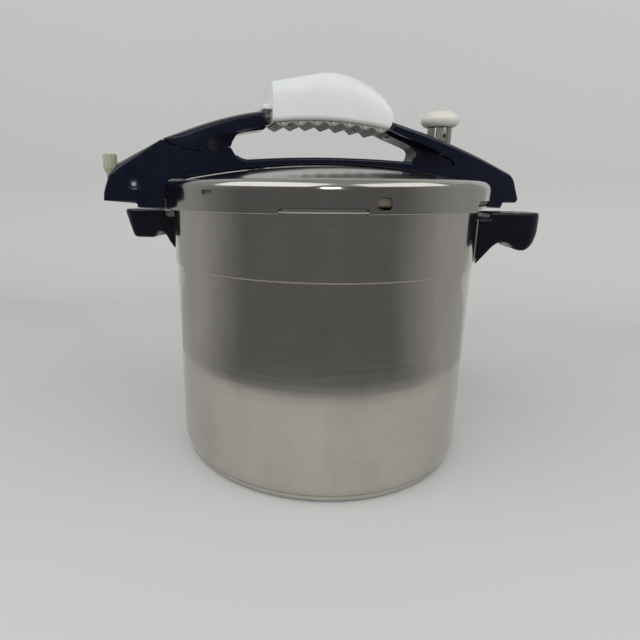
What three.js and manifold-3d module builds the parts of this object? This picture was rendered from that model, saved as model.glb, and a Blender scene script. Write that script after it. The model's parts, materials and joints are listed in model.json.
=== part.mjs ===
// Stovetop pressure cooker, about 9 litres: a drawn steel pot with two side handles and a bayonet
// lid that carries an arched handle, a white grip, a steam weight, a float valve and a lock knob.
// Millimetres, +Z up. Origin: centre of the underside. +X runs along the two side handles.
// The lid sits in its insert position, so its arched handle stands a turn away from +X.

import * as THREE from 'three';
import { mergeVertices } from 'three/addons/utils/BufferGeometryUtils.js';
import Module from 'manifold-3d';

const wasm = await Module();
wasm.setup();

// Clearances
const seatGap = 0.3; // between pieces that touch
const slideGap = 0.6; // between pieces that move past each other
const overcut = 2; // how far a cutter runs past the face that it opens

// Pot
const potRadius = 121; // outside, below the step
const potHeight = 206; // to the top of the rim
const potWall = 1;
const potCorner = 8; // outside radius between wall and bottom
const bandHeight = 45.6; // the wider band below the rim
const bandStep = 1.2; // how much wider the band is
const rimLip = 1; // rim beyond the band, between the lugs
const flangeThickness = 2.5;
const baseThickness = 6; // sandwich base under the pot
const baseInset = 2.5; // base edge in from the pot wall
const baseSkin = 0.8;
const baseEdge = 2.5; // rounding of the base's lower edge

// Bayonet
const clawReach = 4;
const clawThickness = 1;
const clawGap = 0.4; // claws pass under the pot's lugs with this room
const closingTurn = 20; // degrees from the insert position to closed
const notchAngle = 25; // degrees, the narrow gaps between claws
const notchCentre = 72.5; // degrees from the handle to a narrow gap
const notchRise = 3.7;
const footGapAngle = 87; // degrees, the wide gaps at the handle's feet
const footGapCentre = -11.5; // degrees from the handle to a wide gap
const footGapRise = 7.2;
const lugPlay = 0.9; // degrees left beside a lug in its gap

// Lid
const skirtThickness = 1.2;
const lidThickness = 1.3;
const shoulderRadius = 7;
const ringWidth = 8; // flat ring between shoulder and dome
const domeRise = 11.4;
const gasketHeight = 15;
const gasketWall = 3;
const gasketLip = 9;
const windowWidth = 9.3; // gasket relief windows in the skirt
const windowHeight = 7.4;
const windowRise = 2.7; // above the skirt's lower edge
const windowAngles = [-91.5, 88.5]; // degrees from the handle
const slitWidth = 9.6; // small slot that vents the gasket
const slitHeight = 2.8;
const slitRise = 11;
const slitAngle = -142.4;

// Arched handle
const archHalfWidth = 20;
const archEdge = 2; // rounding of its long edges
const footGap = 2.7; // between skirt and foot
const footLength = 41.8;
const footRise = 4; // foot above the skirt's lower edge
const footLugDrop = 4.7;
const leafSpan = 6; // degrees to each side, of the leaf welded to the skirt
const tabHalfWidth = 11; // tab that runs from the leaf into the foot
const tabThickness = 2;
const tabRise = 10; // above the foot's underside
const tabLength = 18;
const footScrewReach = 11;
const footScrewLength = 18; // tip above the foot's underside
const leftLugLength = 16.5;
const rightLugLength = 26.5;
const leftShoulderInset = 11.6;
const leftShoulderHeight = 27.4; // above the foot
const rightShoulderInset = 7.5;
const rightShoulderHeight = 23;
const bridgeGap = 0.6; // between dome and bridge
const shoulderGap = 0.8; // between the lid's shoulder and the foot over it
const bridgeThickness = 6.2;
const armSpan = 50.5; // centre to the end of each arm at the grip
const armTopRise = 35.4; // arm end above the dome
const armDepth = 9.6; // height of the right arm at the grip
const noseDepth = 14.5; // height of the cover's nose at the grip
const openingLeft = 76;
const openingRight = 78;
const recessDepth = 10.5; // hollows in the arms' faces
const dimpleRadius = 26;
const dimpleDepth = 1.4;

// Grip
const gripHalfWidth = 21;
const gripWall = 3;
const gripEdge = 3.5; // rounding of its lower edges
const gripSkirt = 2.3; // shell below its widest line
const gripStepInset = 3.5; // grip's stepped end in from the arm's end
const gripEndInset = 0.5;
const gripHump = 69.4; // crown above the dome
const gripFoot = 35.6; // lower edge above the dome
const collarLength = 6.8;
const collarHeight = 3.8;
const toothPitch = 13.2;
const toothDepth = 2.6;
const toothTip = 1.5; // half the flat on a tooth's tip
const stripDepth = 3.4;
const stripHalfWidth = 16.5;
const bumpRadius = 2.1;
const coreHalfWidth = 8;
const coreThickness = 4.5;
const coreEntry = 11; // how far the core runs into each arm

// Side handles
const sideHandleReach = 47; // beyond the band
const sideHandleHalfWidth = 22;
const sideHandleEndTaper = 4;
const sideHandleEdge = 2;
const sideHandleTop = 2.1; // below the skirt's lower edge
const sideLedgeDepth = 5;
const sideLedgeLength = 6.2;
const rightHandle = {
  name: 'right',
  drop: 41, // top to its lowest point, at the pot
  lean: 0, // slope of its end face
  side: 12.7, // height of the end face
  nose: 29, // top to the nose's underside
  noseBack: 11.5,
  noseLength: 0.5,
  hollow: 22.8, // top to the finger hollow
  hollowBack: 28.2,
  fall: 29.5, // where the underside turns down to the pot
  fallReach: 9.3,
  turn: 0,
};
const leftHandle = {
  name: 'left',
  drop: 34,
  lean: 7,
  side: 19.4,
  nose: 23.4,
  noseBack: 14.3,
  noseLength: 11.5,
  hollow: 18.4,
  hollowBack: 34.6,
  fall: 25.8,
  fallReach: 5.4,
  turn: 180,
};
const fingerRidgeRadius = 1.4;
const bracketThickness = 1.5;
const bracketHeight = 30;
const bracketHalfWidth = 17;
const tongueLength = 26;
const tongueWidth = 14;
const tongueThickness = 4;

// Screws
const screwRadius = 2;
const screwHeadRadius = 3.8;
const screwHeadHeight = 2.4;

// Steam vent and weight
const ventInset = 11.8; // vent's axis in from the dome's edge, along the handle
const ventRadius = 4;
const ventBore = 1.6;
const ventFlangeRadius = 8.5;
const ventFlangeHeight = 3;
const ventHeight = 30; // tip above the lid's pad
const nutRadius = 8;
const nutHeight = 4;
const weightRadius = 10;
const weightHeight = 25;
const weightStart = 16; // weight's lower edge above the pad
const weightFlutes = 20;
const weightFluteDepth = 0.6;
const weightPortRadius = 1.6;
const wellGap = 2.7; // around the weight in the arm
const capRadius = 16;
const capHeight = 13.2;
const capSpigotRadius = 6;
const capSpigotHeight = 8;

// Lock knob at the end of the left foot, with an arm to the pin that enters the side handle
const knobInset = 5.6; // from the foot's end
const knobBack = 12; // behind the handle's centre line
const knobRadius = 5.3;
const knobHeight = 15.4;
const knobTaper = 4.5;
const knobFloor = 7; // well floor above the foot's underside
const knobFlutes = 14;
const knobFluteDepth = 0.5;
const lockTravel = 10;
const lockPinRadius = 3;
const lockPinInset = 10.5; // pin's axis in from the knob's
const lockPinRise = 1; // pin's tip above the foot's underside when it is up
const lockHoleDepth = 6;
const lockArmThickness = 3;
const lockStudRadius = 1.8;

// Float valve behind the handle
const floatInset = 37.7; // valve's axis in from the dome's edge
const floatBearing = 126; // degrees from the handle
const floatBodyRadius = 8;
const floatBodyHeight = 5.5;
const floatPinRadius = 2.2;
const floatPinHead = 3.6;
const floatSeal = 2;

// Heights and radii that follow
const bandRadius = potRadius + bandStep;
const rimRadius = bandRadius + rimLip;
const clawRadius = rimRadius + lugPlay;
const skirtInner = clawRadius + clawReach;
const lugRadius = skirtInner - slideGap;
const lidRadius = skirtInner + skirtThickness;
const lugBottom = potHeight - flangeThickness;
const skirtBottom = lugBottom - clawGap - clawThickness;
const gasketBottom = potHeight + seatGap;
const lidUnderside = gasketBottom + gasketHeight + seatGap;
const ringTop = lidUnderside + lidThickness;
const domeEdge = lidRadius - shoulderRadius - ringWidth;
const domeTop = ringTop + domeRise;
const gripLeft = armSpan - gripStepInset;
const gripRight = armSpan - gripEndInset;
const ventOffset = domeEdge - ventInset;
const floatX = (domeEdge - floatInset) * Math.cos(THREE.MathUtils.degToRad(floatBearing));
const floatY = (domeEdge - floatInset) * Math.sin(THREE.MathUtils.degToRad(floatBearing));
const domeRadius = (domeEdge ** 2 + domeRise ** 2) / (2 * domeRise);
const footInner = lidRadius + footGap;
const footReach = footInner + footLength;
const footBottom = skirtBottom + footRise;
const sideTop = skirtBottom - sideHandleTop;
const bracketRadius = bandRadius + seatGap;

const segments = { large: 72, small: 16 };

// Height of the dome's outer face at a distance from the lid's axis.
function domeHeight(radius) {
  return domeTop - domeRadius + Math.sqrt(domeRadius ** 2 - radius ** 2);
}

function radians(degrees) {
  return THREE.MathUtils.degToRad(degrees);
}

// Solids

// A three.js geometry as a manifold solid.
function solid(geometry) {
  const flat = geometry.index ? geometry.toNonIndexed() : geometry;
  const bare = new THREE.BufferGeometry();
  bare.setAttribute('position', flat.getAttribute('position'));
  const merged = mergeVertices(bare, 1e-3);
  return new wasm.Manifold(
    new wasm.Mesh({
      numProp: 3,
      vertProperties: merged.attributes.position.array,
      triVerts: new Uint32Array(merged.index.array),
    }),
  );
}

// A manifold solid as a three.js geometry.
function geometryOf(body) {
  const mesh = body.getMesh();
  const geometry = new THREE.BufferGeometry();
  geometry.setAttribute('position', new THREE.BufferAttribute(mesh.vertProperties, 3));
  geometry.setIndex(new THREE.BufferAttribute(mesh.triVerts, 1));
  geometry.computeVertexNormals();
  return geometry;
}

// A closed [radius, height] profile, given anticlockwise, turned about Z.
function revolve(profile, count = segments.large) {
  const points = profile.map(([radius, height]) => new THREE.Vector2(radius, height));
  const onAxis = profile[0][0] === 0 && profile.at(-1)[0] === 0;
  if (!onAxis) points.push(points[0].clone());
  const geometry = new THREE.LatheGeometry(points, count);
  geometry.rotateX(Math.PI / 2);
  return solid(geometry);
}

function cylinder(radius, bottom, top, x = 0, y = 0, count = segments.small) {
  const geometry = new THREE.CylinderGeometry(radius, radius, top - bottom, count);
  geometry.rotateX(Math.PI / 2);
  geometry.translate(x, y, (bottom + top) / 2);
  return solid(geometry);
}

// A box from its lowest to its highest corner.
function box([x0, y0, z0], [x1, y1, z1]) {
  const geometry = new THREE.BoxGeometry(x1 - x0, y1 - y0, z1 - z0);
  geometry.translate((x0 + x1) / 2, (y0 + y1) / 2, (z0 + z1) / 2);
  return solid(geometry);
}

// An outline drawn in X and Z, given a width along Y with rounded long edges.
function across(shape, halfWidth, edge = 0) {
  const geometry = new THREE.ExtrudeGeometry(shape, {
    depth: 2 * (halfWidth - edge),
    curveSegments: 10,
    bevelEnabled: edge > 0,
    bevelThickness: edge,
    bevelSize: edge,
    bevelOffset: -edge,
    bevelSegments: 2,
  });
  geometry.rotateX(Math.PI / 2);
  geometry.translate(0, halfWidth - edge, 0);
  return solid(geometry);
}

// An outline drawn in X and Y, raised from one height to another.
function upright(shape, bottom, top) {
  const geometry = new THREE.ExtrudeGeometry(shape, {
    depth: top - bottom,
    curveSegments: 10,
    bevelEnabled: false,
  });
  geometry.translate(0, 0, bottom);
  return solid(geometry);
}

// A pie slice about Z, from one angle to another, in degrees.
function slice(radius, from, to, bottom, top) {
  const shape = new THREE.Shape();
  shape.moveTo(0, 0);
  shape.lineTo(radius * Math.cos(radians(from)), radius * Math.sin(radians(from)));
  shape.absarc(0, 0, radius, radians(from), radians(to), false);
  return upright(shape, bottom, top);
}

// A ring cut to a band of angles.
function sector(inner, outer, from, to, bottom, top) {
  const ring = revolve([
    [inner, bottom],
    [outer, bottom],
    [outer, top],
    [inner, top],
  ]);
  return ring.intersect(slice(outer * 1.1, from, to, bottom - overcut, top + overcut));
}

// Quarter arc of a profile from one angle to another, in degrees.
function arc(centreR, centreZ, radius, from, to, steps = 4) {
  return Array.from({ length: steps + 1 }, (_, i) => {
    const angle = radians(from + ((to - from) * i) / steps);
    return [centreR + radius * Math.cos(angle), centreZ + radius * Math.sin(angle)];
  });
}

// A scalloped circle, for flutes that a hand can hold.
function flutedCircle(radius, depth, flutes) {
  const shape = new THREE.Shape();
  const steps = flutes * 4;
  for (let i = 0; i < steps; i++) {
    const angle = (2 * Math.PI * i) / steps;
    const r = radius - (depth * (1 - Math.cos(flutes * angle))) / 2;
    if (i === 0) shape.moveTo(r, 0);
    else shape.lineTo(r * Math.cos(angle), r * Math.sin(angle));
  }
  shape.closePath();
  return shape;
}

// A closed skin through rings of points; each ring runs anticlockwise as seen from its end.
function loft(rings) {
  const count = rings[0].length;
  const positions = [];
  const triangle = (a, b, c) => positions.push(...a, ...b, ...c);
  for (let i = 0; i + 1 < rings.length; i++) {
    for (let j = 0; j < count; j++) {
      const k = (j + 1) % count;
      triangle(rings[i][j], rings[i][k], rings[i + 1][k]);
      triangle(rings[i][j], rings[i + 1][k], rings[i + 1][j]);
    }
  }
  const middle = (ring) => [0, 1, 2].map((axis) => ring.reduce((sum, p) => sum + p[axis], 0) / count);
  const first = rings[0];
  const last = rings.at(-1);
  for (let j = 0; j < count; j++) {
    const k = (j + 1) % count;
    triangle(middle(first), first[k], first[j]);
    triangle(middle(last), last[j], last[k]);
  }
  const geometry = new THREE.BufferGeometry();
  geometry.setAttribute('position', new THREE.Float32BufferAttribute(positions, 3));
  return solid(geometry);
}

// A screw that is driven upwards, its head at the bottom.
function screw(headBottom, tip, x = 0, y = 0) {
  const body = revolve(
    [
      [0, headBottom],
      [screwHeadRadius - 0.8, headBottom],
      [screwHeadRadius, headBottom + 0.8],
      [screwHeadRadius, headBottom + screwHeadHeight],
      [screwRadius, headBottom + screwHeadHeight],
      [screwRadius, tip - screwRadius],
      [0, tip],
    ],
    12,
  );
  return body.translate([x, y, 0]);
}

// The hole that a screw of the same size needs: a recess for the head and a bore for the shank.
function screwHole(headBottom, tip, x = 0, y = 0) {
  const recess = cylinder(
    screwHeadRadius + seatGap,
    headBottom - 40,
    headBottom + screwHeadHeight + seatGap,
    x,
    y,
    12,
  );
  const bore = cylinder(screwRadius + seatGap, headBottom, tip + seatGap, x, y, 12);
  return recess.add(bore);
}

// Materials

function material(color, roughness, metalness = 0) {
  return new THREE.MeshStandardMaterial({ color, roughness, metalness });
}

const brushedSteel = material(0x8e8a82, 0.34, 1);
const polishedSteel = material(0x9a968e, 0.2, 1);
const aluminium = material(0xb6b4ae, 0.4, 1);
const navyPlastic = material(0x1b1d35, 0.28);
const blackPlastic = material(0x111217, 0.45);
const whitePlastic = material(0xd2d4d1, 0.35);
const ivoryPlastic = material(0xc9c6b8, 0.4);
const greenPlastic = material(0x9ea283, 0.45);
const silicone = material(0xb9b4a2, 0.7);

function piece(name, body, finish) {
  const mesh = new THREE.Mesh(geometryOf(body), finish.clone());
  mesh.name = name;
  return mesh;
}

// Pot

// The bayonet's gaps on the lid and lugs on the pot share these angles, measured from the handle.
function bayonetGaps() {
  return [
    { centre: footGapCentre, width: footGapAngle, rise: footGapRise },
    { centre: notchCentre, width: notchAngle, rise: notchRise },
    { centre: 180 + footGapCentre, width: footGapAngle, rise: footGapRise },
    { centre: 180 + notchCentre, width: notchAngle, rise: notchRise },
  ];
}

function potShell() {
  const outerWall = potRadius;
  const innerWall = potRadius - potWall;
  const innerBand = bandRadius - potWall;
  const bandBottom = potHeight - bandHeight;
  const innerCorner = potCorner - potWall;
  const shell = revolve([
    [0, baseThickness],
    ...arc(outerWall - potCorner, baseThickness + potCorner, potCorner, -90, 0),
    [outerWall, bandBottom - bandStep],
    [bandRadius, bandBottom],
    [bandRadius, lugBottom - rimLip],
    [rimRadius, lugBottom],
    [rimRadius, potHeight],
    [innerBand, potHeight],
    [innerBand, bandBottom + potWall],
    [innerWall, bandBottom - bandStep + potWall],
    ...arc(innerWall - innerCorner, baseThickness + potWall + innerCorner, innerCorner, 0, -90),
    [0, baseThickness + potWall],
  ]);
  const lugs = bayonetGaps().map(({ centre, width }) => {
    const half = width / 2 - lugPlay;
    const middle = centre + closingTurn;
    return sector(innerBand + potWall / 2, lugRadius, middle - half, middle + half, lugBottom, potHeight);
  });
  return lugs.reduce((body, lug) => body.add(lug), shell);
}

function baseCore() {
  const radius = potRadius - baseInset - baseSkin - seatGap;
  const bottom = baseSkin + seatGap;
  const top = baseThickness - seatGap;
  return revolve([
    [0, bottom],
    [radius - baseEdge, bottom],
    [radius, bottom + baseEdge],
    [radius, top],
    [0, top],
  ]);
}

function baseCap() {
  const radius = potRadius - baseInset;
  const inner = radius - baseSkin;
  const cornerFall = Math.sqrt(potCorner ** 2 - (inner - potRadius + potCorner) ** 2);
  const top = baseThickness + potCorner - cornerFall - seatGap;
  return revolve([
    [0, 0],
    ...arc(radius - baseEdge, baseEdge, baseEdge, -90, 0, 3),
    [radius, top],
    [inner, top],
    [inner, baseEdge],
    [radius - baseEdge, baseSkin],
    [0, baseSkin],
  ]);
}

// Side handles, drawn pointing along +X; the left one is turned about Z.

// Where the underside is highest, and where it turns down to the pot.
function underside(handle) {
  const hollowX = bandRadius + sideHandleReach - handle.hollowBack;
  return {
    hollow: { x: hollowX, z: sideTop - handle.hollow },
    fall: { x: bandRadius + handle.fallReach, z: sideTop - handle.fall },
  };
}

function sideHandleOutline(handle) {
  const { hollow, fall } = underside(handle);
  const end = bandRadius + sideHandleReach;
  const wall = bandRadius - overcut;
  const ledgeEnd = bracketRadius + bracketThickness + sideLedgeLength;
  const nose = sideTop - handle.nose;
  const noseEnd = end - handle.noseBack - handle.noseLength;
  const half = { x: (noseEnd + hollow.x) / 2, z: (nose + hollow.z) / 2 };
  const shape = new THREE.Shape();
  shape.moveTo(wall, sideTop - sideLedgeDepth);
  shape.lineTo(ledgeEnd, sideTop - sideLedgeDepth);
  shape.lineTo(ledgeEnd, sideTop);
  shape.lineTo(end, sideTop);
  shape.lineTo(end - handle.lean, sideTop - handle.side);
  shape.quadraticCurveTo(end - handle.lean - 1.2, nose, end - handle.noseBack, nose);
  shape.lineTo(noseEnd, nose);
  shape.quadraticCurveTo(noseEnd + (half.x - noseEnd) * 0.7, nose, half.x, half.z);
  shape.quadraticCurveTo(hollow.x + (half.x - hollow.x) * 0.7, hollow.z, hollow.x, hollow.z);
  shape.quadraticCurveTo(hollow.x - (hollow.x - fall.x) * 0.5, hollow.z, fall.x, fall.z);
  shape.lineTo(wall, sideTop - handle.drop - overcut);
  shape.closePath();
  return shape;
}

// Plan of a side handle: narrower at its outer end, with rounded corners.
function sideHandlePlan() {
  const end = bandRadius + sideHandleReach + 1;
  const endHalf = sideHandleHalfWidth - sideHandleEndTaper;
  const round = 9;
  const shape = new THREE.Shape();
  shape.moveTo(bandRadius - overcut, -sideHandleHalfWidth - 1);
  shape.lineTo(end - round, -endHalf);
  shape.quadraticCurveTo(end, -endHalf, end, -endHalf + round);
  shape.lineTo(end, endHalf - round);
  shape.quadraticCurveTo(end, endHalf, end - round, endHalf);
  shape.lineTo(bandRadius - overcut, sideHandleHalfWidth + 1);
  shape.closePath();
  return shape;
}

// Ridges across the underside, where the fingers lie.
function fingerRidges(handle) {
  const { hollow, fall } = underside(handle);
  const line = new THREE.QuadraticBezierCurve(
    new THREE.Vector2(hollow.x, hollow.z),
    new THREE.Vector2((hollow.x + fall.x) / 2, hollow.z),
    new THREE.Vector2(fall.x, fall.z),
  );
  return [0, 0.5, 1].map((share) => {
    const place = line.getPoint(share);
    const ridge = new THREE.CylinderGeometry(
      fingerRidgeRadius,
      fingerRidgeRadius,
      2 * (sideHandleHalfWidth - sideHandleEndTaper - 2),
      8,
    );
    ridge.translate(place.x, 0, place.y + seatGap);
    return solid(ridge);
  });
}

const tongueTop = sideTop - sideLedgeDepth - 3;
const tongueBottom = tongueTop - tongueThickness;
const tongueEnd = bracketRadius + bracketThickness + tongueLength;
const sideScrewX = tongueEnd - 7;
const sideScrewTip = tongueTop + 5;
const sideScrewHead = tongueBottom - 2.5 - screwHeadHeight;

function sideHandle(handle) {
  const grown = seatGap;
  const outline = across(sideHandleOutline(handle), sideHandleHalfWidth, sideHandleEdge);
  const plan = upright(sideHandlePlan(), sideTop - handle.drop - overcut, sideTop + overcut);
  const wall = cylinder(
    bracketRadius + bracketThickness + seatGap,
    0,
    potHeight * 1.2,
    0,
    0,
    segments.large,
  );
  const socket = box(
    [bandRadius, -tongueWidth / 2 - grown, tongueBottom - grown],
    [tongueEnd + grown, tongueWidth / 2 + grown, tongueTop + grown],
  );
  const body = fingerRidges(handle).reduce((sum, ridge) => sum.add(ridge), outline.intersect(plan));
  return body
    .subtract(wall)
    .subtract(socket)
    .subtract(screwHole(sideScrewHead, sideScrewTip, sideScrewX));
}

// Curved plate welded to the pot, with the tongue that carries the handle.
function handleBracket() {
  const spread = THREE.MathUtils.radToDeg(bracketHalfWidth / bandRadius);
  const top = sideTop - sideLedgeDepth - 1;
  const plate = sector(
    bracketRadius,
    bracketRadius + bracketThickness,
    -spread,
    spread,
    top - bracketHeight,
    top,
  );
  const tongue = box(
    [bracketRadius + bracketThickness / 2, -tongueWidth / 2, tongueBottom],
    [tongueEnd, tongueWidth / 2, tongueTop],
  );
  const hole = cylinder(
    screwRadius + seatGap,
    tongueBottom - overcut,
    tongueTop + overcut,
    sideScrewX,
    0,
    12,
  );
  return plate.add(tongue).subtract(hole);
}

const lockX = -(footReach - knobInset);
const lockPinX = lockX + lockPinInset;

// The left handle has the hole that the lock pin drops into when the lid is closed.
function lockHole() {
  const radius = lockPinRadius + slideGap;
  return cylinder(radius, sideTop - lockHoleDepth, sideTop + overcut, -lockPinX, -knobBack, 12);
}

// Gasket: a C-shaped ring between the rim and the lid.
function sealingRing() {
  const outer = skirtInner - slideGap;
  const inner = outer - gasketLip;
  const top = gasketBottom + gasketHeight;
  const web = outer - gasketWall;
  return revolve([
    [inner, gasketBottom],
    [outer - 1, gasketBottom],
    [outer, gasketBottom + 1],
    [outer, top - shoulderRadius * 0.8],
    [outer - shoulderRadius * 0.3, top - shoulderRadius * 0.3],
    [outer - shoulderRadius * 0.8, top],
    [inner, top],
    [inner, top - gasketWall],
    [web, top - gasketWall * 1.6],
    [web, gasketBottom + gasketWall * 1.6],
    [inner, gasketBottom + gasketWall],
  ]);
}

// Lid

// Points of the dome between two radii, from the larger to the smaller.
function domeProfile(from, to, drop, steps = 5) {
  return Array.from({ length: steps + 1 }, (_, i) => {
    const radius = from + ((to - from) * i) / steps;
    return [radius, domeHeight(radius) - drop];
  });
}

function lidBlank() {
  const shoulderCentre = lidRadius - shoulderRadius;
  const inside = shoulderRadius - skirtThickness;
  return revolve([
    [clawRadius, skirtBottom],
    [lidRadius, skirtBottom],
    ...arc(shoulderCentre, ringTop - shoulderRadius, shoulderRadius, 0, 90),
    ...domeProfile(domeEdge, 0, 0),
    ...domeProfile(0, domeEdge, lidThickness),
    ...arc(shoulderCentre, ringTop - lidThickness - inside, inside, 90, 0),
    [skirtInner, skirtBottom + clawThickness],
    [clawRadius, skirtBottom + clawThickness],
  ]);
}

// A bayonet gap: the claw is missing over its whole width and the skirt's edge rises in it.
function bayonetGapCutter({ centre, width, rise }) {
  const half = width / 2;
  const slope = 2.3;
  const claw = sector(
    clawRadius - overcut,
    skirtInner,
    centre - half,
    centre + half,
    skirtBottom - overcut,
    skirtBottom + clawThickness + overcut,
  );
  const steps = 3;
  return Array.from({ length: steps }, (_, i) => {
    const narrow = (slope * (i + 0.5)) / steps;
    return sector(
      skirtInner - overcut,
      lidRadius + overcut,
      centre - half + narrow,
      centre + half - narrow,
      skirtBottom - overcut,
      skirtBottom + (rise * (i + 1)) / steps,
    );
  }).reduce((sum, step) => sum.add(step), claw);
}

// A slot through the skirt with rounded corners.
function skirtSlot(angle, width, height, rise) {
  const round = height / 3;
  const half = width / 2;
  const bottom = skirtBottom + rise;
  const top = bottom + height;
  const shape = new THREE.Shape();
  shape.moveTo(-half + round, bottom);
  shape.lineTo(half - round, bottom);
  shape.quadraticCurveTo(half, bottom, half, bottom + round);
  shape.lineTo(half, top - round);
  shape.quadraticCurveTo(half, top, half - round, top);
  shape.lineTo(-half + round, top);
  shape.quadraticCurveTo(-half, top, -half, top - round);
  shape.lineTo(-half, bottom + round);
  shape.quadraticCurveTo(-half, bottom, -half + round, bottom);
  return across(shape, skirtThickness + overcut)
    .translate([0, -(lidRadius - skirtThickness / 2), 0])
    .rotate([0, 0, angle + 90]);
}

// Flat welded pad that gives a fitting a level seat on the dome.
function fittingPad(x, y, radius) {
  const distance = Math.hypot(x, y);
  const top = domeHeight(distance - radius);
  const bottom = domeHeight(distance + radius) - lidThickness;
  return { top, bottom, body: cylinder(radius + 1, bottom, top, x, y) };
}

const ventSeat = fittingPad(ventOffset, 0, ventFlangeRadius);
const floatSeat = fittingPad(floatX, floatY, floatBodyRadius);

function lidShell() {
  const cutters = [
    ...bayonetGaps().map(bayonetGapCutter),
    ...windowAngles.map((angle) => skirtSlot(angle, windowWidth, windowHeight, windowRise)),
    skirtSlot(slitAngle, slitWidth, slitHeight, slitRise),
    cylinder(ventRadius + seatGap, ventSeat.bottom - overcut, ventSeat.top + overcut, ventOffset),
    cylinder(
      floatPinHead + seatGap,
      floatSeat.bottom - overcut,
      floatSeat.top + overcut,
      floatX,
      floatY,
    ),
  ];
  const shell = lidBlank().add(ventSeat.body).add(floatSeat.body);
  return cutters.reduce((body, cutter) => body.subtract(cutter), shell);
}

// Curved leaf welded to the skirt with a tab that runs into the foot. Drawn at +X.
const tabBottom = footBottom + tabRise;
const tabEnd = footInner + tabLength;
const footScrewX = footInner + footScrewReach;

function lidBracket() {
  const inner = lidRadius + seatGap;
  const outer = footInner - seatGap;
  const leafBottom = skirtBottom + footGapRise + 1;
  const leafTop = tabBottom + tabThickness;
  const leaf = sector(inner, outer, -leafSpan, leafSpan, leafBottom, leafTop);
  const tab = box([(inner + outer) / 2, -tabHalfWidth, tabBottom], [tabEnd, tabHalfWidth, leafTop]);
  const hole = cylinder(
    screwRadius + seatGap,
    tabBottom - overcut,
    tabBottom + tabThickness + overcut,
    footScrewX,
    0,
    12,
  );
  return leaf.add(tab).subtract(hole);
}

function tabPocket() {
  return box(
    [footInner - 6, -tabHalfWidth - seatGap, tabBottom - seatGap],
    [tabEnd + seatGap, tabHalfWidth + seatGap, tabBottom + tabThickness + seatGap],
  );
}

// Arched handle

const armEndTop = domeTop + armTopRise;
const armEndBottom = armEndTop - armDepth;
const noseBottom = armEndTop - noseDepth;
const bridgeTop = domeTop + bridgeThickness;
const leftShoulder = { x: -(footReach - leftShoulderInset), z: footBottom + leftShoulderHeight };
const rightShoulder = { x: footReach - rightShoulderInset, z: footBottom + rightShoulderHeight };
const seamLip = { x: -(footInner - 3), z: leftShoulder.z + 17.6 };
const seamLow = { x: seamLip.x + 26.7, z: seamLip.z - 7.2 };
const seamEnd = { x: -(openingLeft + 1.5), z: seamLip.z - 3.7 };

// The seam that the cover lies on, from its lip on top to the hand opening.
function seam(shape, lift, forwards) {
  const steps = [
    [seamLip.x, seamLip.z],
    [seamLip.x + 8, seamLip.z - 3.8],
    [seamLow.x - 9, seamLow.z + 0.4],
    [seamLow.x, seamLow.z - 0.6],
    [seamLow.x + 10, seamLow.z + 2.2],
    [seamEnd.x, seamEnd.z],
  ];
  const points = forwards ? steps : steps.toReversed();
  points.forEach(([x, z]) => shape.lineTo(x, z + lift));
}

// Underside of the bridge, just clear of the dome.
function bridgeLine(x) {
  return domeHeight(Math.abs(x)) + bridgeGap;
}

function archOutline() {
  const leftLug = footInner + leftLugLength;
  const rightLug = footInner + rightLugLength;
  const lugBottomZ = footBottom - footLugDrop;
  const shape = new THREE.Shape();
  shape.moveTo(-footReach + 1.8, footBottom);
  shape.lineTo(-leftLug, footBottom);
  shape.lineTo(-leftLug, lugBottomZ);
  shape.lineTo(-footInner + overcut, lugBottomZ);
  shape.lineTo(-footInner + overcut, ringTop - shoulderRadius);
  const steps = 10;
  for (let i = 0; i <= steps; i++) {
    const x = -domeEdge + (2 * domeEdge * i) / steps;
    shape.lineTo(x, bridgeLine(x));
  }
  shape.lineTo(footInner - overcut, ringTop - shoulderRadius);
  shape.lineTo(footInner - overcut, lugBottomZ);
  shape.lineTo(rightLug, lugBottomZ);
  shape.lineTo(rightLug, footBottom);
  shape.lineTo(footReach - 1, footBottom);
  shape.lineTo(footReach, footBottom + 3.5);
  shape.lineTo(rightShoulder.x + 3, rightShoulder.z - 9);
  shape.lineTo(rightShoulder.x, rightShoulder.z);
  shape.quadraticCurveTo(
    (armSpan + rightShoulder.x) / 2 + 4.5,
    (armEndTop + rightShoulder.z) / 2 + 5.5,
    armSpan,
    armEndTop,
  );
  shape.lineTo(armSpan - 3.5, armEndBottom + 0.8);
  shape.quadraticCurveTo(armSpan + 16, armEndBottom - 6, openingRight - 3, armEndBottom - 10);
  shape.quadraticCurveTo(openingRight + 2.5, bridgeTop + 5.5, openingRight - 4.5, bridgeTop - 2.2);
  shape.quadraticCurveTo(0, bridgeTop + 2.8, -openingLeft + 10, bridgeTop - 2.2);
  shape.quadraticCurveTo(-openingLeft + 3, bridgeTop - 1.4, -openingLeft + 0.8, seamEnd.z - 4);
  seam(shape, 0, false);
  shape.lineTo(leftShoulder.x, leftShoulder.z);
  shape.quadraticCurveTo(-footReach + 5.6, leftShoulder.z - 8.8, -footReach + 2.4, footBottom + 7);
  shape.closePath();
  return shape;
}

function coverOutline() {
  const shape = new THREE.Shape();
  shape.moveTo(seamLip.x, seamLip.z + seatGap);
  seam(shape, seatGap, true);
  shape.lineTo(-openingLeft - 0.2, seamEnd.z + 4);
  shape.lineTo(-openingLeft + 3, seamEnd.z + 9);
  shape.quadraticCurveTo(-openingLeft + 6, noseBottom + 3, -armSpan - 8, noseBottom + 4.5);
  shape.lineTo(-armSpan - 1, noseBottom + 5.6);
  shape.lineTo(-armSpan + 2.5, noseBottom + 9);
  shape.lineTo(-armSpan - 2.5, armEndTop + 4);
  shape.quadraticCurveTo(-armSpan - 36, armEndTop - 0.5, seamLip.x, seamLip.z + seatGap);
  shape.closePath();
  return shape;
}

// Centre line height of the core at a distance along the handle.
function coreHeight(x) {
  const middle = domeTop + gripFoot + 0.9;
  return middle - 0.03 * x - 0.00189 * x * x;
}

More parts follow.
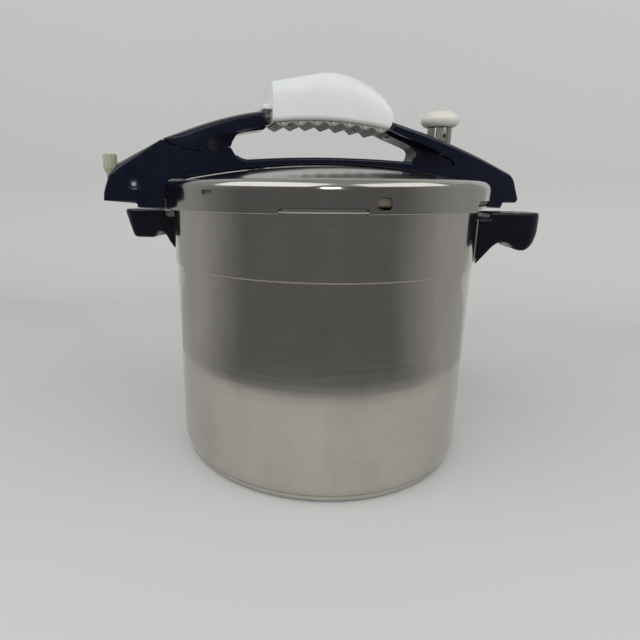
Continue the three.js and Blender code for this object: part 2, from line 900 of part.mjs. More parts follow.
function corePath(grow) {
  const left = -(armSpan + coreEntry) - grow;
  const right = armSpan + coreEntry - 2 + grow;
  const half = coreThickness / 2 + grow;
  const steps = 12;
  const line = Array.from({ length: steps + 1 }, (_, i) => left + ((right - left) * i) / steps);
  const shape = new THREE.Shape();
  line.forEach((x, i) => {
    if (i === 0) shape.moveTo(x, coreHeight(x) - half);
    else shape.lineTo(x, coreHeight(x) - half);
  });
  line.toReversed().forEach((x) => shape.lineTo(x, coreHeight(x) + half));
  shape.closePath();
  return shape;
}

function coreBlank(grow = 0) {
  return across(corePath(grow), coreHalfWidth + grow, 0);
}

const coreScrewLeft = -(armSpan + coreEntry - 5);
const coreScrewRight = armSpan + coreEntry - 6;
const gripScrewX = 27;
const coverScrewX = seamLow.x + 2;
const coverScrewHead = bridgeLine(Math.abs(coverScrewX)) + 4;
const coverScrewTip = seamLow.z + 12;

function coreScrewHead(x) {
  return coreHeight(x) - coreThickness / 2 - 1 - screwHeadHeight;
}

function gripScrewHead(x) {
  return coreHeight(x) - coreThickness / 2 - seatGap - 3.2;
}

function gripScrewTip(x) {
  return coreHeight(x) + coreThickness / 2 + 10;
}

// Hollows that leave a web between the arms' flanges. Their floor runs out to the arm's face.
function hollowPlan(mouth, flat, end) {
  const web = archHalfWidth - recessDepth;
  const shape = new THREE.Shape();
  shape.moveTo(mouth, web);
  shape.lineTo(flat, web);
  shape.quadraticCurveTo((flat + end) / 2, web + 0.5, end, archHalfWidth + 0.5);
  shape.lineTo(end, archHalfWidth + overcut);
  shape.lineTo(mouth, archHalfWidth + overcut);
  shape.closePath();
  return upright(shape, bridgeTop - 10, armEndTop);
}

function armRecesses() {
  const right = new THREE.Shape();
  right.moveTo(armSpan - 8, armEndTop - 4.5);
  right.lineTo(armSpan + 8, armEndTop - 11);
  right.lineTo(armSpan + 33, armEndTop - 19.3);
  right.lineTo(armSpan + 46, armEndTop - 24.4);
  right.quadraticCurveTo(armSpan + 62, armEndTop - 31.5, armSpan + 55, armEndTop - 35.4);
  right.quadraticCurveTo(armSpan + 43, armEndTop - 37, openingRight - 9, bridgeTop - 4.2);
  right.lineTo(openingRight - 9, bridgeTop + 4);
  right.lineTo(armSpan - 8, armEndBottom - 4);
  right.closePath();
  const left = new THREE.Shape();
  left.moveTo(-armSpan + 6, armEndTop - 5.4);
  left.lineTo(-armSpan + 6, noseBottom - 4);
  left.lineTo(-openingLeft + 4, seamEnd.z + 4);
  left.lineTo(-openingLeft + 4, bridgeTop + 0.4);
  left.lineTo(-openingLeft - 10, bridgeTop + 0.6);
  left.quadraticCurveTo(-openingLeft - 25, seamEnd.z - 1, -openingLeft - 19, seamEnd.z + 5);
  left.closePath();
  const rightPlan = hollowPlan(armSpan - 10, openingRight + 7, openingRight + 34);
  const leftPlan = hollowPlan(-armSpan + 10, -openingLeft - 8, -openingLeft - 25);
  const hollows = [
    across(right, archHalfWidth + overcut).intersect(rightPlan),
    across(left, archHalfWidth + overcut).intersect(leftPlan),
  ];
  return hollows.flatMap((hollow) => [hollow, hollow.mirror([0, 1, 0])]);
}

function weightWell() {
  const top = armEndTop + 10;
  return cylinder(weightRadius + wellGap, lidUnderside, top, ventOffset, 0, 28);
}

// Well for the lock knob, with the slot that its arm moves in and the bore for its pin.
function knobWell() {
  const floor = footBottom + knobFloor;
  const roof = floor + seatGap + lockTravel + lockArmThickness + slideGap;
  const room = lockPinRadius + slideGap;
  const well = cylinder(knobRadius + slideGap, floor, armEndTop, lockX, knobBack, 28);
  const slot = box([lockX, knobBack - room, floor], [lockPinX, knobBack + room, roof]);
  const bore = cylinder(room, footBottom - overcut, roof, lockPinX, knobBack, 12);
  return well.add(slot).add(bore);
}

function dimple() {
  const ball = new THREE.SphereGeometry(dimpleRadius, 20, 14);
  const depth = archHalfWidth + dimpleRadius - dimpleDepth;
  ball.translate(-(footInner + 18), -depth, footBottom + 18);
  return solid(ball);
}

function cutAll(body, cutters) {
  return cutters.reduce((rest, cutter) => rest.subtract(cutter), body);
}

// Room for the lid's skirt, the welded leaf and the shoulder.
function lidRoom() {
  const radius = shoulderRadius + shoulderGap;
  const centreZ = ringTop - shoulderRadius;
  const leafTop = tabBottom + tabThickness + seatGap;
  const start = THREE.MathUtils.radToDeg(Math.asin((leafTop - centreZ) / radius));
  return revolve([
    [0, 0],
    [footInner, 0],
    [footInner, leafTop],
    ...arc(lidRadius - shoulderRadius, centreZ, radius, start, 90),
    [0, ringTop + shoulderGap],
  ]);
}

function archBody() {
  const footHead = footBottom + 1;
  const footTip = footBottom + footScrewLength;
  return cutAll(across(archOutline(), archHalfWidth, archEdge), [
    lidRoom(),
    ...armRecesses(),
    weightWell(),
    knobWell(),
    dimple(),
    tabPocket(),
    tabPocket().rotate([0, 0, 180]),
    screwHole(footHead, footTip, footScrewX),
    screwHole(footHead, footTip, -footScrewX),
    coreBlank(seatGap),
    screwHole(coreScrewHead(coreScrewRight), coreHeight(coreScrewRight) + 4, coreScrewRight),
    screwHole(coverScrewHead, coverScrewTip, coverScrewX),
  ]);
}

function archCover() {
  return cutAll(across(coverOutline(), archHalfWidth, archEdge), [
    ...armRecesses(),
    coreBlank(seatGap),
    screwHole(coreScrewHead(coreScrewLeft), coreHeight(coreScrewLeft) + 4, coreScrewLeft),
    cylinder(screwRadius + seatGap, coverScrewHead, coverScrewTip + seatGap, coverScrewX, 0, 12),
  ]);
}

function handleCore() {
  const holes = [coreScrewLeft, -gripScrewX, gripScrewX, coreScrewRight].map((x) =>
    cylinder(screwRadius + seatGap, coreHeight(x) - 20, coreHeight(x) + 20, x, 0, 12),
  );
  return cutAll(coreBlank(), holes);
}

// Grip

function gripBottom(x) {
  return domeTop + gripFoot - 0.025 * x - 0.0016 * x * x;
}

// Crown of the grip, a spline through the few heights that give the hump.
const crown = new THREE.SplineCurve([
  new THREE.Vector2(-gripLeft, domeTop + gripHump - 9),
  new THREE.Vector2(-gripLeft * 0.5, domeTop + gripHump - 4),
  new THREE.Vector2(2, domeTop + gripHump),
  new THREE.Vector2(gripRight * 0.52, domeTop + gripHump - 4.7),
  new THREE.Vector2(gripRight * 0.85, domeTop + gripHump - 13.6),
  new THREE.Vector2(gripRight, domeTop + gripHump - 22),
]);

// One section of the grip: a soft-shouldered arch whose lower edges curl inwards.
function gripSection(x, top, bottom, halfWidth, squareness) {
  const steps = 14;
  const edge = bottom + gripEdge;
  const arch = Array.from({ length: steps + 1 }, (_, i) => {
    const angle = (Math.PI * i) / steps;
    const side = Math.sign(Math.cos(angle)) * Math.abs(Math.cos(angle)) ** (2 / squareness);
    const up = Math.abs(Math.sin(angle)) ** (2 / squareness);
    return [x, halfWidth * side, edge + (top - edge) * up];
  });
  const curl = [30, 60, 90].map((degrees) => [
    halfWidth - gripEdge * (1 - Math.cos(radians(degrees))),
    edge - gripEdge * Math.sin(radians(degrees)),
  ]);
  const left = curl.map(([y, z]) => [x, -y, z]);
  const right = curl.toReversed().map(([y, z]) => [x, y, z]);
  return [...arch, ...left, ...right];
}

function gripLoft(inset) {
  const steps = 18;
  const rings = Array.from({ length: steps + 1 }, (_, i) => {
    const share = i / steps;
    const point = crown.getPoint(share);
    const x = Math.min(Math.max(point.x, -gripLeft + inset), gripRight - inset);
    const bottom = gripBottom(x) - gripSkirt - (inset > 0 ? gripEdge + overcut : 0);
    const squareness = 4.6 - 1.6 * share;
    return gripSection(x, point.y - inset, bottom, gripHalfWidth - inset - share, squareness);
  });
  const unique = rings.filter((ring, i) => i === 0 || ring[0][0] > rings[i - 1][0][0] + 0.2);
  return loft(unique);
}

// A ledge on the stepped end that lies on the cover's nose.
function gripCollar() {
  const bottom = armEndTop + 4 + seatGap;
  return box(
    [-gripLeft - collarLength, -archHalfWidth + 1.5, bottom],
    [-gripLeft + gripWall, archHalfWidth - 1.5, bottom + collarHeight],
  );
}

// Room for the end of the right arm, which the grip runs against.
function armEndRoom() {
  const shape = new THREE.Shape();
  shape.moveTo(armSpan - 3.5 - seatGap, armEndBottom);
  shape.lineTo(armSpan - 3.8 - seatGap, armEndBottom - 8);
  shape.lineTo(armSpan + 20, armEndBottom - 8);
  shape.lineTo(armSpan + 20, armEndTop + seatGap);
  shape.lineTo(armSpan - seatGap, armEndTop + seatGap);
  return across(shape, gripHalfWidth + overcut);
}

function gripBosses() {
  const inside = gripLoft(gripWall / 2);
  return [-gripScrewX, gripScrewX].map((x) => {
    const bottom = coreHeight(x) + coreThickness / 2 + 2 * seatGap;
    return cylinder(screwRadius + 2.4, bottom, domeTop + gripHump, x).intersect(inside);
  });
}

function gripShell() {
  const hollow = cutAll(gripLoft(0).add(gripCollar()), [gripLoft(gripWall)]);
  const bossed = gripBosses().reduce((body, boss) => body.add(boss), hollow);
  const screws = [-gripScrewX, gripScrewX].map((x) =>
    cylinder(screwRadius + seatGap, gripScrewHead(x), gripScrewTip(x) + seatGap, x, 0, 12),
  );
  return cutAll(bossed, [coreBlank(seatGap), armEndRoom(), ...screws]);
}

// Underside of the grip: a strip with finger teeth, wrapped round the core.
function gripStrip() {
  const left = -gripLeft + gripWall + seatGap;
  const right = gripRight - gripWall - seatGap;
  const shape = new THREE.Shape();
  const steps = 8;
  for (let i = 0; i <= steps; i++) {
    const x = right + ((left - right) * i) / steps;
    if (i === 0) shape.moveTo(x, gripBottom(x) - seatGap);
    else shape.lineTo(x, gripBottom(x) - seatGap);
  }
  const rootGap = 1.2;
  const teeth = Math.floor((right - left + 2 * rootGap) / toothPitch);
  const first = (left + right - (teeth - 1) * toothPitch) / 2;
  const tips = Array.from({ length: teeth }, (_, i) => first + i * toothPitch);
  shape.lineTo(left, gripBottom(left) - stripDepth);
  for (const tip of tips) {
    const root = toothPitch / 2 - rootGap;
    shape.lineTo(tip - root, gripBottom(tip - root) - stripDepth);
    shape.lineTo(tip - toothTip, gripBottom(tip) - stripDepth - toothDepth);
    shape.lineTo(tip + toothTip, gripBottom(tip) - stripDepth - toothDepth);
    shape.lineTo(tip + root, gripBottom(tip + root) - stripDepth);
  }
  shape.lineTo(right, gripBottom(right) - stripDepth);
  shape.closePath();
  const bumps = tips.flatMap((x) =>
    [-1, 1].map((side) => {
      const bump = new THREE.SphereGeometry(bumpRadius, 8, 6);
      bump.translate(x, side * stripHalfWidth, gripBottom(x) - stripDepth - 0.9);
      return solid(bump);
    }),
  );
  const strip = bumps.reduce((body, bump) => body.add(bump), across(shape, stripHalfWidth));
  const screws = [-gripScrewX, gripScrewX].map((x) => screwHole(gripScrewHead(x), gripScrewTip(x), x));
  return cutAll(strip, [coreBlank(seatGap), armEndRoom(), ...screws]);
}

// Steam vent and weight, drawn on their own axis and moved to the vent

function ventPipe() {
  const tip = ventSeat.top + ventHeight;
  const base = ventSeat.top + seatGap;
  const tail = ventSeat.bottom - nutHeight - 3;
  return revolve(
    [
      [ventBore, tail],
      [ventRadius, tail],
      [ventRadius, base],
      [ventFlangeRadius, base],
      [ventFlangeRadius, base + ventFlangeHeight],
      [ventRadius, base + ventFlangeHeight],
      [ventRadius, tip - 1.5],
      [ventRadius - 1.5, tip],
      [ventBore, tip],
    ],
    segments.small,
  );
}

function hexNut(bore, top) {
  const hex = new THREE.Shape();
  for (let i = 0; i < 6; i++) {
    const angle = (Math.PI * i) / 3;
    const [x, y] = [nutRadius * Math.cos(angle), nutRadius * Math.sin(angle)];
    if (i === 0) hex.moveTo(x, y);
    else hex.lineTo(x, y);
  }
  hex.closePath();
  const nut = upright(hex, top - nutHeight, top);
  return nut.subtract(cylinder(bore, top - nutHeight - overcut, top + overcut));
}

// Slotted cup that keeps food out of the vent, held by the pipe's tail.
function ventStrainer() {
  const top = ventSeat.bottom - seatGap * 2 - nutHeight;
  const outer = ventRadius + 3;
  const cup = revolve(
    [
      [0, top - 9],
      [outer, top - 9],
      [outer, top],
      [ventRadius + seatGap, top],
      [ventRadius + seatGap, top - 4],
      [outer - 1, top - 4],
      [outer - 1, top - 8],
      [0, top - 8],
    ],
    segments.small,
  );
  const slots = Array.from({ length: 4 }, (_, i) =>
    box([-outer - 1, -0.9, top - 7.4], [outer + 1, 0.9, top - 4.6]).rotate([0, 0, 45 * i]),
  );
  return cutAll(cup, slots);
}

const weightBottom = ventSeat.top + weightStart;
const weightTop = weightBottom + weightHeight;

function weightBody() {
  const seat = ventSeat.top + ventHeight + seatGap;
  const stem = upright(flutedCircle(weightRadius, weightFluteDepth, weightFlutes), weightBottom, weightTop);
  const spigot = cylinder(capSpigotRadius, weightTop - 1, weightTop + capSpigotHeight);
  const socket = cylinder(ventRadius + slideGap, weightBottom - overcut, seat);
  const port = weightTop - 7.2;
  const chamber = cylinder(ventRadius - 1, seat - 1, port + 2.5);
  const hole = new THREE.CylinderGeometry(weightPortRadius, weightPortRadius, 3 * weightRadius, 12);
  const portHole = solid(hole).rotate([0, 0, -3]).translate([0, 0, port]);
  return cutAll(stem.add(spigot), [socket, chamber, portHole]);
}

function weightCap() {
  const bottom = weightTop + seatGap;
  const top = bottom + capHeight;
  const waist = bottom + capHeight * 0.37;
  const hole = capSpigotRadius + seatGap;
  const roof = weightTop + capSpigotHeight + seatGap;
  return revolve(
    [
      [hole, bottom],
      [capRadius - 4.4, bottom],
      [capRadius - 1.6, bottom + 1.8],
      [capRadius, waist],
      [capRadius - 0.6, waist + 2.6],
      [capRadius - 3.2, top - 3.4],
      [capRadius - 8, top - 0.9],
      [0, top],
      [0, roof],
      [hole, roof],
    ],
    36,
  );
}

// Lock knob and pin, drawn on their own axis and moved to the left foot

const lockArmBottom = footBottom + knobFloor + seatGap + lockTravel;
const knobBottom = lockArmBottom + lockArmThickness + seatGap;
const lockStudTop = knobBottom + knobHeight * 0.55;

function lockKnob() {
  const outline = flutedCircle(knobRadius, knobFluteDepth, knobFlutes);
  const grip = upright(outline, knobBottom + knobTaper, knobBottom + knobHeight);
  const cone = revolve(
    [
      [0, knobBottom],
      [knobRadius - 2, knobBottom],
      [knobRadius - knobFluteDepth, knobBottom + knobTaper + 0.1],
      [0, knobBottom + knobTaper + 0.1],
    ],
    28,
  );
  const bore = lockStudRadius + seatGap;
  const socket = cylinder(bore, knobBottom - overcut, lockStudTop + seatGap, 0, 0, 12);
  return grip.add(cone).subtract(socket);
}

function lockPin() {
  const top = lockArmBottom + lockArmThickness;
  const pin = cylinder(lockPinRadius, footBottom + lockPinRise, top, lockPinInset, 0, 12);
  const arm = box([0, -lockPinRadius + 0.5, lockArmBottom], [lockPinInset, lockPinRadius - 0.5, top]);
  const end = cylinder(lockPinRadius, lockArmBottom, top, 0, 0, 12);
  const stud = cylinder(lockStudRadius, lockArmBottom, lockStudTop, 0, 0, 12);
  return pin.add(arm).add(end).add(stud);
}

// Float valve, drawn on its own axis and moved to its place on the dome

function floatBody() {
  const base = floatSeat.top + seatGap;
  const top = base + floatSeal + seatGap + floatBodyHeight;
  const tail = floatSeat.bottom - nutHeight - 3;
  const bore = floatPinRadius + slideGap / 2;
  return revolve(
    [
      [bore, tail],
      [floatPinHead, tail],
      [floatPinHead, base + floatSeal + seatGap],
      [floatBodyRadius, base + floatSeal + seatGap],
      [floatBodyRadius, top - 3],
      [floatBodyRadius - 2.5, top],
      [bore, top],
    ],
    segments.small,
  );
}

function floatSealRing() {
  const base = floatSeat.top + seatGap;
  return revolve(
    [
      [floatPinHead + seatGap, base],
      [floatBodyRadius + 0.6, base],
      [floatBodyRadius + 0.6, base + floatSeal],
      [floatPinHead + seatGap, base + floatSeal],
    ],
    segments.small,
  );
}

function floatPin() {
  const top = floatSeat.top + floatSeal + floatBodyHeight + 4 * seatGap;
  const tail = floatSeat.bottom - nutHeight - 8;
  return revolve(
    [
      [0, tail - 3],
      [floatPinHead, tail - 3],
      [floatPinHead, tail],
      [floatPinRadius, tail],
      [floatPinRadius, top],
      [floatPinHead, top],
      [floatPinHead, top + 2],
      [0, top + 3],
    ],
    16,
  );
}

// Assembly

function placed(mesh, x, y = 0) {
  mesh.position.set(x, y, 0);
  return mesh;
}

function turned(mesh) {
  mesh.rotation.z = Math.PI;
  return mesh;
}

function potGroup() {
  const group = new THREE.Group();
  group.add(
    piece('pot_shell', potShell(), brushedSteel),
    piece('base_core', baseCore(), aluminium),
    piece('base_cap', baseCap(), brushedSteel),
  );
  for (const side of [rightHandle, leftHandle]) {
    const handle = side === leftHandle ? sideHandle(side).subtract(lockHole()) : sideHandle(side);
    const parts = new THREE.Group();
    parts.rotation.z = radians(side.turn);
    parts.add(
      piece(`side_handle_${side.name}`, handle, blackPlastic),
      piece(`handle_bracket_${side.name}`, handleBracket(), brushedSteel),
      piece(`side_handle_screw_${side.name}`, screw(sideScrewHead, sideScrewTip, sideScrewX), polishedSteel),
    );
    group.add(parts);
  }
  return group;
}

function screws() {
  const footHead = footBottom + 1;
  const footTip = footBottom + footScrewLength;
  const list = [
    ['foot_screw_left', footHead, footTip, -footScrewX],
    ['foot_screw_right', footHead, footTip, footScrewX],
    ['core_screw_left', coreScrewHead(coreScrewLeft), coreHeight(coreScrewLeft) + 4, coreScrewLeft],
    ['core_screw_right', coreScrewHead(coreScrewRight), coreHeight(coreScrewRight) + 4, coreScrewRight],
    ['cover_screw', coverScrewHead, coverScrewTip, coverScrewX],
    ['grip_screw_left', gripScrewHead(-gripScrewX), gripScrewTip(-gripScrewX), -gripScrewX],
    ['grip_screw_right', gripScrewHead(gripScrewX), gripScrewTip(gripScrewX), gripScrewX],
  ];
  return list.map(([name, head, tip, x]) => piece(name, screw(head, tip, x), polishedSteel));
}

function lidGroup() {
  const ventNutTop = ventSeat.bottom - seatGap;
  const floatNutTop = floatSeat.bottom - seatGap;
  const group = new THREE.Group();
  group.rotation.z = radians(closingTurn);
  group.add(
    piece('sealing_ring', sealingRing(), silicone),
    piece('lid_shell', lidShell(), polishedSteel),
    piece('lid_bracket_right', lidBracket(), brushedSteel),
    turned(piece('lid_bracket_left', lidBracket(), brushedSteel)),
    piece('arch_body', archBody(), navyPlastic),
    piece('arch_cover', archCover(), navyPlastic),
    piece('handle_core', handleCore(), blackPlastic),
    piece('grip_shell', gripShell(), whitePlastic),
    piece('grip_strip', gripStrip(), whitePlastic),
    ...screws(),
    placed(piece('vent_pipe', ventPipe(), polishedSteel), ventOffset),
    placed(piece('vent_nut', hexNut(ventRadius + seatGap, ventNutTop), brushedSteel), ventOffset),
    placed(piece('vent_strainer', ventStrainer(), polishedSteel), ventOffset),
    placed(piece('weight_body', weightBody(), polishedSteel), ventOffset),
    placed(piece('weight_cap', weightCap(), ivoryPlastic), ventOffset),
    placed(piece('lock_knob', lockKnob(), greenPlastic), lockX, knobBack),
    placed(piece('lock_pin', lockPin(), polishedSteel), lockX, knobBack),
    placed(piece('float_body', floatBody(), polishedSteel), floatX, floatY),
    placed(piece('float_seal', floatSealRing(), silicone), floatX, floatY),
    placed(piece('float_nut', hexNut(floatPinHead + seatGap, floatNutTop), brushedSteel), floatX, floatY),
    placed(piece('float_pin', floatPin(), polishedSteel), floatX, floatY),
  );
  return group;
}

const cooker = new THREE.Group();
cooker.add(potGroup(), lidGroup());

export default cooker;
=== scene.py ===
"""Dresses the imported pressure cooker: smooth pot, lid, handles and fittings with their finishes."""

import json
import logging
import math
from dataclasses import dataclass, field
from enum import Enum
from typing import Any, Callable, Sequence

import bpy
from mathutils import Matrix, Vector, geometry

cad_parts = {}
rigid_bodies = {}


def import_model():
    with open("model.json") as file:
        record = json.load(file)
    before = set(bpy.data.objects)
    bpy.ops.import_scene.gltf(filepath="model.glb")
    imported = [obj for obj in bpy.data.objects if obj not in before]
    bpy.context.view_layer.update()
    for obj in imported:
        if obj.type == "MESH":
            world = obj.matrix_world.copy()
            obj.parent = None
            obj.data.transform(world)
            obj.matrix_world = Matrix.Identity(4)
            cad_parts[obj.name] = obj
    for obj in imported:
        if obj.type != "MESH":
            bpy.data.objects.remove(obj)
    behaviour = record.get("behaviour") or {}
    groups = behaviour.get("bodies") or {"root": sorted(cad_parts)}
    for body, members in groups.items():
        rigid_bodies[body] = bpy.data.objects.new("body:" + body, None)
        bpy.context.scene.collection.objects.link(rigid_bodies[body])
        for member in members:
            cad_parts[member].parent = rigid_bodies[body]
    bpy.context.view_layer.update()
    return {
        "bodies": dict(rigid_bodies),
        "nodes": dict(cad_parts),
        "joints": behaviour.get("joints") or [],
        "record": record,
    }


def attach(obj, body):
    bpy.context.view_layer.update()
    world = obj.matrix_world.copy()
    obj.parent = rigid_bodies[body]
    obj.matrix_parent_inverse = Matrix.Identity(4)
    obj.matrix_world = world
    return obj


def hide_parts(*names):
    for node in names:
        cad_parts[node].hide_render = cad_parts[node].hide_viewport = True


logging.basicConfig(level=logging.INFO, format="%(levelname)s %(name)s: %(message)s")
log = logging.getLogger("cooker")

MM = 0.001
SPIN_WELD = 0.002  # how near doubles are after a spin, in millimetres
LOFT_WELD = 0.004  # the same after a loft
Point = tuple[float, float]
Place = Callable[[Vector], bool]


# ---------------------------------------------------------------- bench: the modelling steps


def focus_none() -> None:
    """Leaves edit mode and deselects everything."""
    if bpy.context.object and bpy.context.object.mode != "OBJECT":
        bpy.ops.object.mode_set(mode="OBJECT")
    bpy.ops.object.select_all(action="DESELECT")


def focus(piece: bpy.types.Object) -> None:
    """Deselects everything and makes one object the active one.

    Args:
        piece: The object to work on.
    """
    focus_none()
    piece.select_set(True)
    bpy.context.view_layer.objects.active = piece


def draw_line(name: str, points: Sequence[Vector]) -> bpy.types.Object:
    """Collapses a plane to a vertex and extrudes that along a line, left in edit mode with its end selected.

    Args:
        name: Name of the new object.
        points: The points in order, in millimetres.

    Returns:
        The new object.
    """
    focus_none()
    bpy.ops.mesh.primitive_plane_add(size=2 * MM)
    piece = bpy.context.object
    piece.name = name
    piece.data.name = name
    bpy.ops.object.mode_set(mode="EDIT")
    bpy.ops.mesh.select_mode(type="VERT")
    bpy.ops.mesh.select_all(action="SELECT")
    bpy.ops.mesh.merge(type="CENTER")
    bpy.ops.transform.translate(value=points[0] * MM)
    for here, there in zip(points, points[1:]):
        bpy.ops.mesh.extrude_region_move(TRANSFORM_OT_translate={"value": (there - here) * MM})
    return piece


def fill() -> None:
    """Fills the closed line that is being edited with one face."""
    bpy.ops.mesh.select_all(action="SELECT")
    bpy.ops.mesh.edge_face_add()


def close_skin(weld: float = 0.0) -> None:
    """Merges doubles where a distance is given, turns all faces outwards and leaves edit mode.

    Args:
        weld: How near doubles are, in millimetres.
    """
    bpy.ops.mesh.select_all(action="SELECT")
    if weld:
        bpy.ops.mesh.remove_doubles(threshold=weld * MM)
    bpy.ops.mesh.normals_make_consistent(inside=False)
    bpy.ops.object.mode_set(mode="OBJECT")


def pick(piece: bpy.types.Object, place: Place, kind: str = "VERT") -> None:
    """Selects the vertices or edges whose middle passes a test, and stays in edit mode.

    Args:
        piece: The object that is being edited.
        place: Test of a point in millimetres.
        kind: VERT or EDGE.
    """
    focus(piece)
    bpy.ops.object.mode_set(mode="EDIT")
    bpy.ops.mesh.select_mode(type=kind)
    bpy.ops.mesh.select_all(action="DESELECT")
    bpy.ops.object.mode_set(mode="OBJECT")
    mesh = piece.data
    if kind == "VERT":
        for vertex in mesh.vertices:
            vertex.select = place(vertex.co / MM)
    else:
        for edge in mesh.edges:
            a, b = (mesh.vertices[i].co for i in edge.vertices)
            edge.select = place((a + b) / 2 / MM)
    bpy.ops.object.mode_set(mode="EDIT")


def turned(name: str, profile: Sequence[Point], steps: int = 96) -> bpy.types.Object:
    """Turns a profile about Z and closes it, unless it starts and ends on the axis.

    Args:
        name: Name of the new object.
        profile: Radius and height of each point, in millimetres.
        steps: Facets round the axis.

    Returns:
        The turned piece, in object mode.
    """
    points = [Vector((radius, 0, height)) for radius, height in profile]
    on_axis = profile[0][0] == 0 and profile[-1][0] == 0
    if not on_axis:
        points.append(points[0])
    piece = draw_line(name, points)
    bpy.ops.mesh.select_all(action="SELECT")
    bpy.ops.mesh.spin(steps=steps, angle=2 * math.pi, center=(0, 0, 0), axis=(0, 0, 1))
    close_skin(SPIN_WELD)
    return piece


def drawn_out(name: str, corners: Sequence[Vector], along: Sequence[float]) -> bpy.types.Object:
    """Fills a flat outline and extrudes it.

    Args:
        name: Name of the new object.
        corners: The outline's corners in order, in millimetres.
        along: Which way and how far it is extruded.

    Returns:
        The solid, in object mode.
    """
    piece = draw_line(name, corners)
    fill()
    bpy.ops.mesh.extrude_region_move(TRANSFORM_OT_translate={"value": [MM * step for step in along]})
    close_skin()
    return piece


def slab(name: str, outline: Sequence[Point], half_width: float) -> bpy.types.Object:
    """A solid with an outline drawn in X and Z and a width along Y.

    Args:
        name: Name of the new object.
        outline: The corners in order, in millimetres.
        half_width: Half of the width.

    Returns:
        The solid, in object mode.
    """
    return drawn_out(name, [Vector((x, -half_width, z)) for x, z in outline], (0, 2 * half_width, 0))


def raised(name: str, outline: Sequence[Point], bottom: float, top: float) -> bpy.types.Object:
    """A solid with an outline drawn in X and Y, between two heights.

    Args:
        name: Name of the new object.
        outline: The corners in order, in millimetres.
        bottom: Height of the lower face.
        top: Height of the upper face.

    Returns:
        The solid, in object mode.
    """
    return drawn_out(name, [Vector((x, y, bottom)) for x, y in outline], (0, 0, top - bottom))


def lofted(name: str, rings: Sequence[Sequence[Vector]]) -> bpy.types.Object:
    """A closed skin through rings of points, each ring extruded from the one before.

    Args:
        name: Name of the new object.
        rings: The rings in order, each with the same number of points, in millimetres.

    Returns:
        The solid, in object mode.
    """
    piece = draw_line(name, rings[0])
    fill()
    for before, ring in zip(rings, rings[1:]):
        bpy.ops.mesh.extrude_region_move(TRANSFORM_OT_translate={"value": (0, 0, 0)})
        bpy.ops.object.mode_set(mode="OBJECT")
        for vertex in piece.data.vertices:
            if vertex.select:
                here = vertex.co / MM
                twin = min(range(len(before)), key=lambda j: (before[j] - here).length_squared)
                vertex.co = ring[twin] * MM
        bpy.ops.object.mode_set(mode="EDIT")
    close_skin(LOFT_WELD)
    return piece


def sector(
    name: str, inner: float, outer: float, start: float, end: float, bottom: float, top: float
) -> bpy.types.Object:
    """A ring cut to a band of angles about Z.

    Args:
        name: Name of the new object.
        inner: Inner radius.
        outer: Outer radius.
        start: First angle in degrees.
        end: Last angle in degrees.
        bottom: Lower height.
        top: Upper height.

    Returns:
        The solid, in object mode.
    """
    turn = Matrix.Rotation(math.radians(start), 3, "Z")
    corners = [(inner, bottom), (outer, bottom), (outer, top), (inner, top)]
    piece = draw_line(name, [turn @ Vector((r, 0, z)) for r, z in corners])
    fill()
    steps = max(6, round((end - start) / 1.5))
    bpy.ops.mesh.spin(steps=steps, angle=-math.radians(end - start), center=(0, 0, 0), axis=(0, 0, 1))
    close_skin(SPIN_WELD)
    return piece


def post(
    name: str, radius: float, bottom: float, top: float, x: float = 0.0, y: float = 0.0, sides: int = 48
) -> bpy.types.Object:
    """A round bar or cutter along Z.

    Args:
        name: Name of the new object.
        radius: Its radius.
        bottom: Lower height.
        top: Upper height.
        x: Place of its axis.
        y: Place of its axis.
        sides: Facets round the axis.

    Returns:
        The solid, in object mode.
    """
    focus_none()
    middle = (x * MM, y * MM, (top + bottom) / 2 * MM)
    bpy.ops.mesh.primitive_cylinder_add(
        vertices=sides, radius=radius * MM, depth=(top - bottom) * MM, location=middle
    )
    piece = bpy.context.object
    piece.name = name
    settle(piece)
    return piece


def ball(name: str, radius: float, centre: Sequence[float], segments: int, rings: int) -> bpy.types.Object:
    """A ball that is cut out of a piece or joined to it.

    Args:
        name: Name of the new object.
        radius: Its radius.
        centre: Its centre, in millimetres.
        segments: Facets round the axis.
        rings: Facets from pole to pole.

    Returns:
        The solid, in object mode.
    """
    focus_none()
    place = Vector(centre) * MM
    bpy.ops.mesh.primitive_uv_sphere_add(
        segments=segments, ring_count=rings, radius=radius * MM, location=place
    )
    piece = bpy.context.object
    piece.name = name
    settle(piece)
    return piece


def block(name: str, low: Sequence[float], high: Sequence[float]) -> bpy.types.Object:
    """A box between two corners.

    Args:
        name: Name of the new object.
        low: Lowest corner.
        high: Highest corner.

    Returns:
        The solid, in object mode.
    """
    focus_none()
    middle = [(a + b) / 2 * MM for a, b in zip(low, high)]
    bpy.ops.mesh.primitive_cube_add(size=1, location=middle)
    piece = bpy.context.object
    piece.name = name
    piece.scale = [(b - a) * MM for a, b in zip(low, high)]
    settle(piece)
    return piece


def settle(piece: bpy.types.Object) -> None:
    """Applies place, turn and scale, so that the object stands at the origin."""
    focus(piece)
    bpy.ops.object.transform_apply(location=True, rotation=True, scale=True)


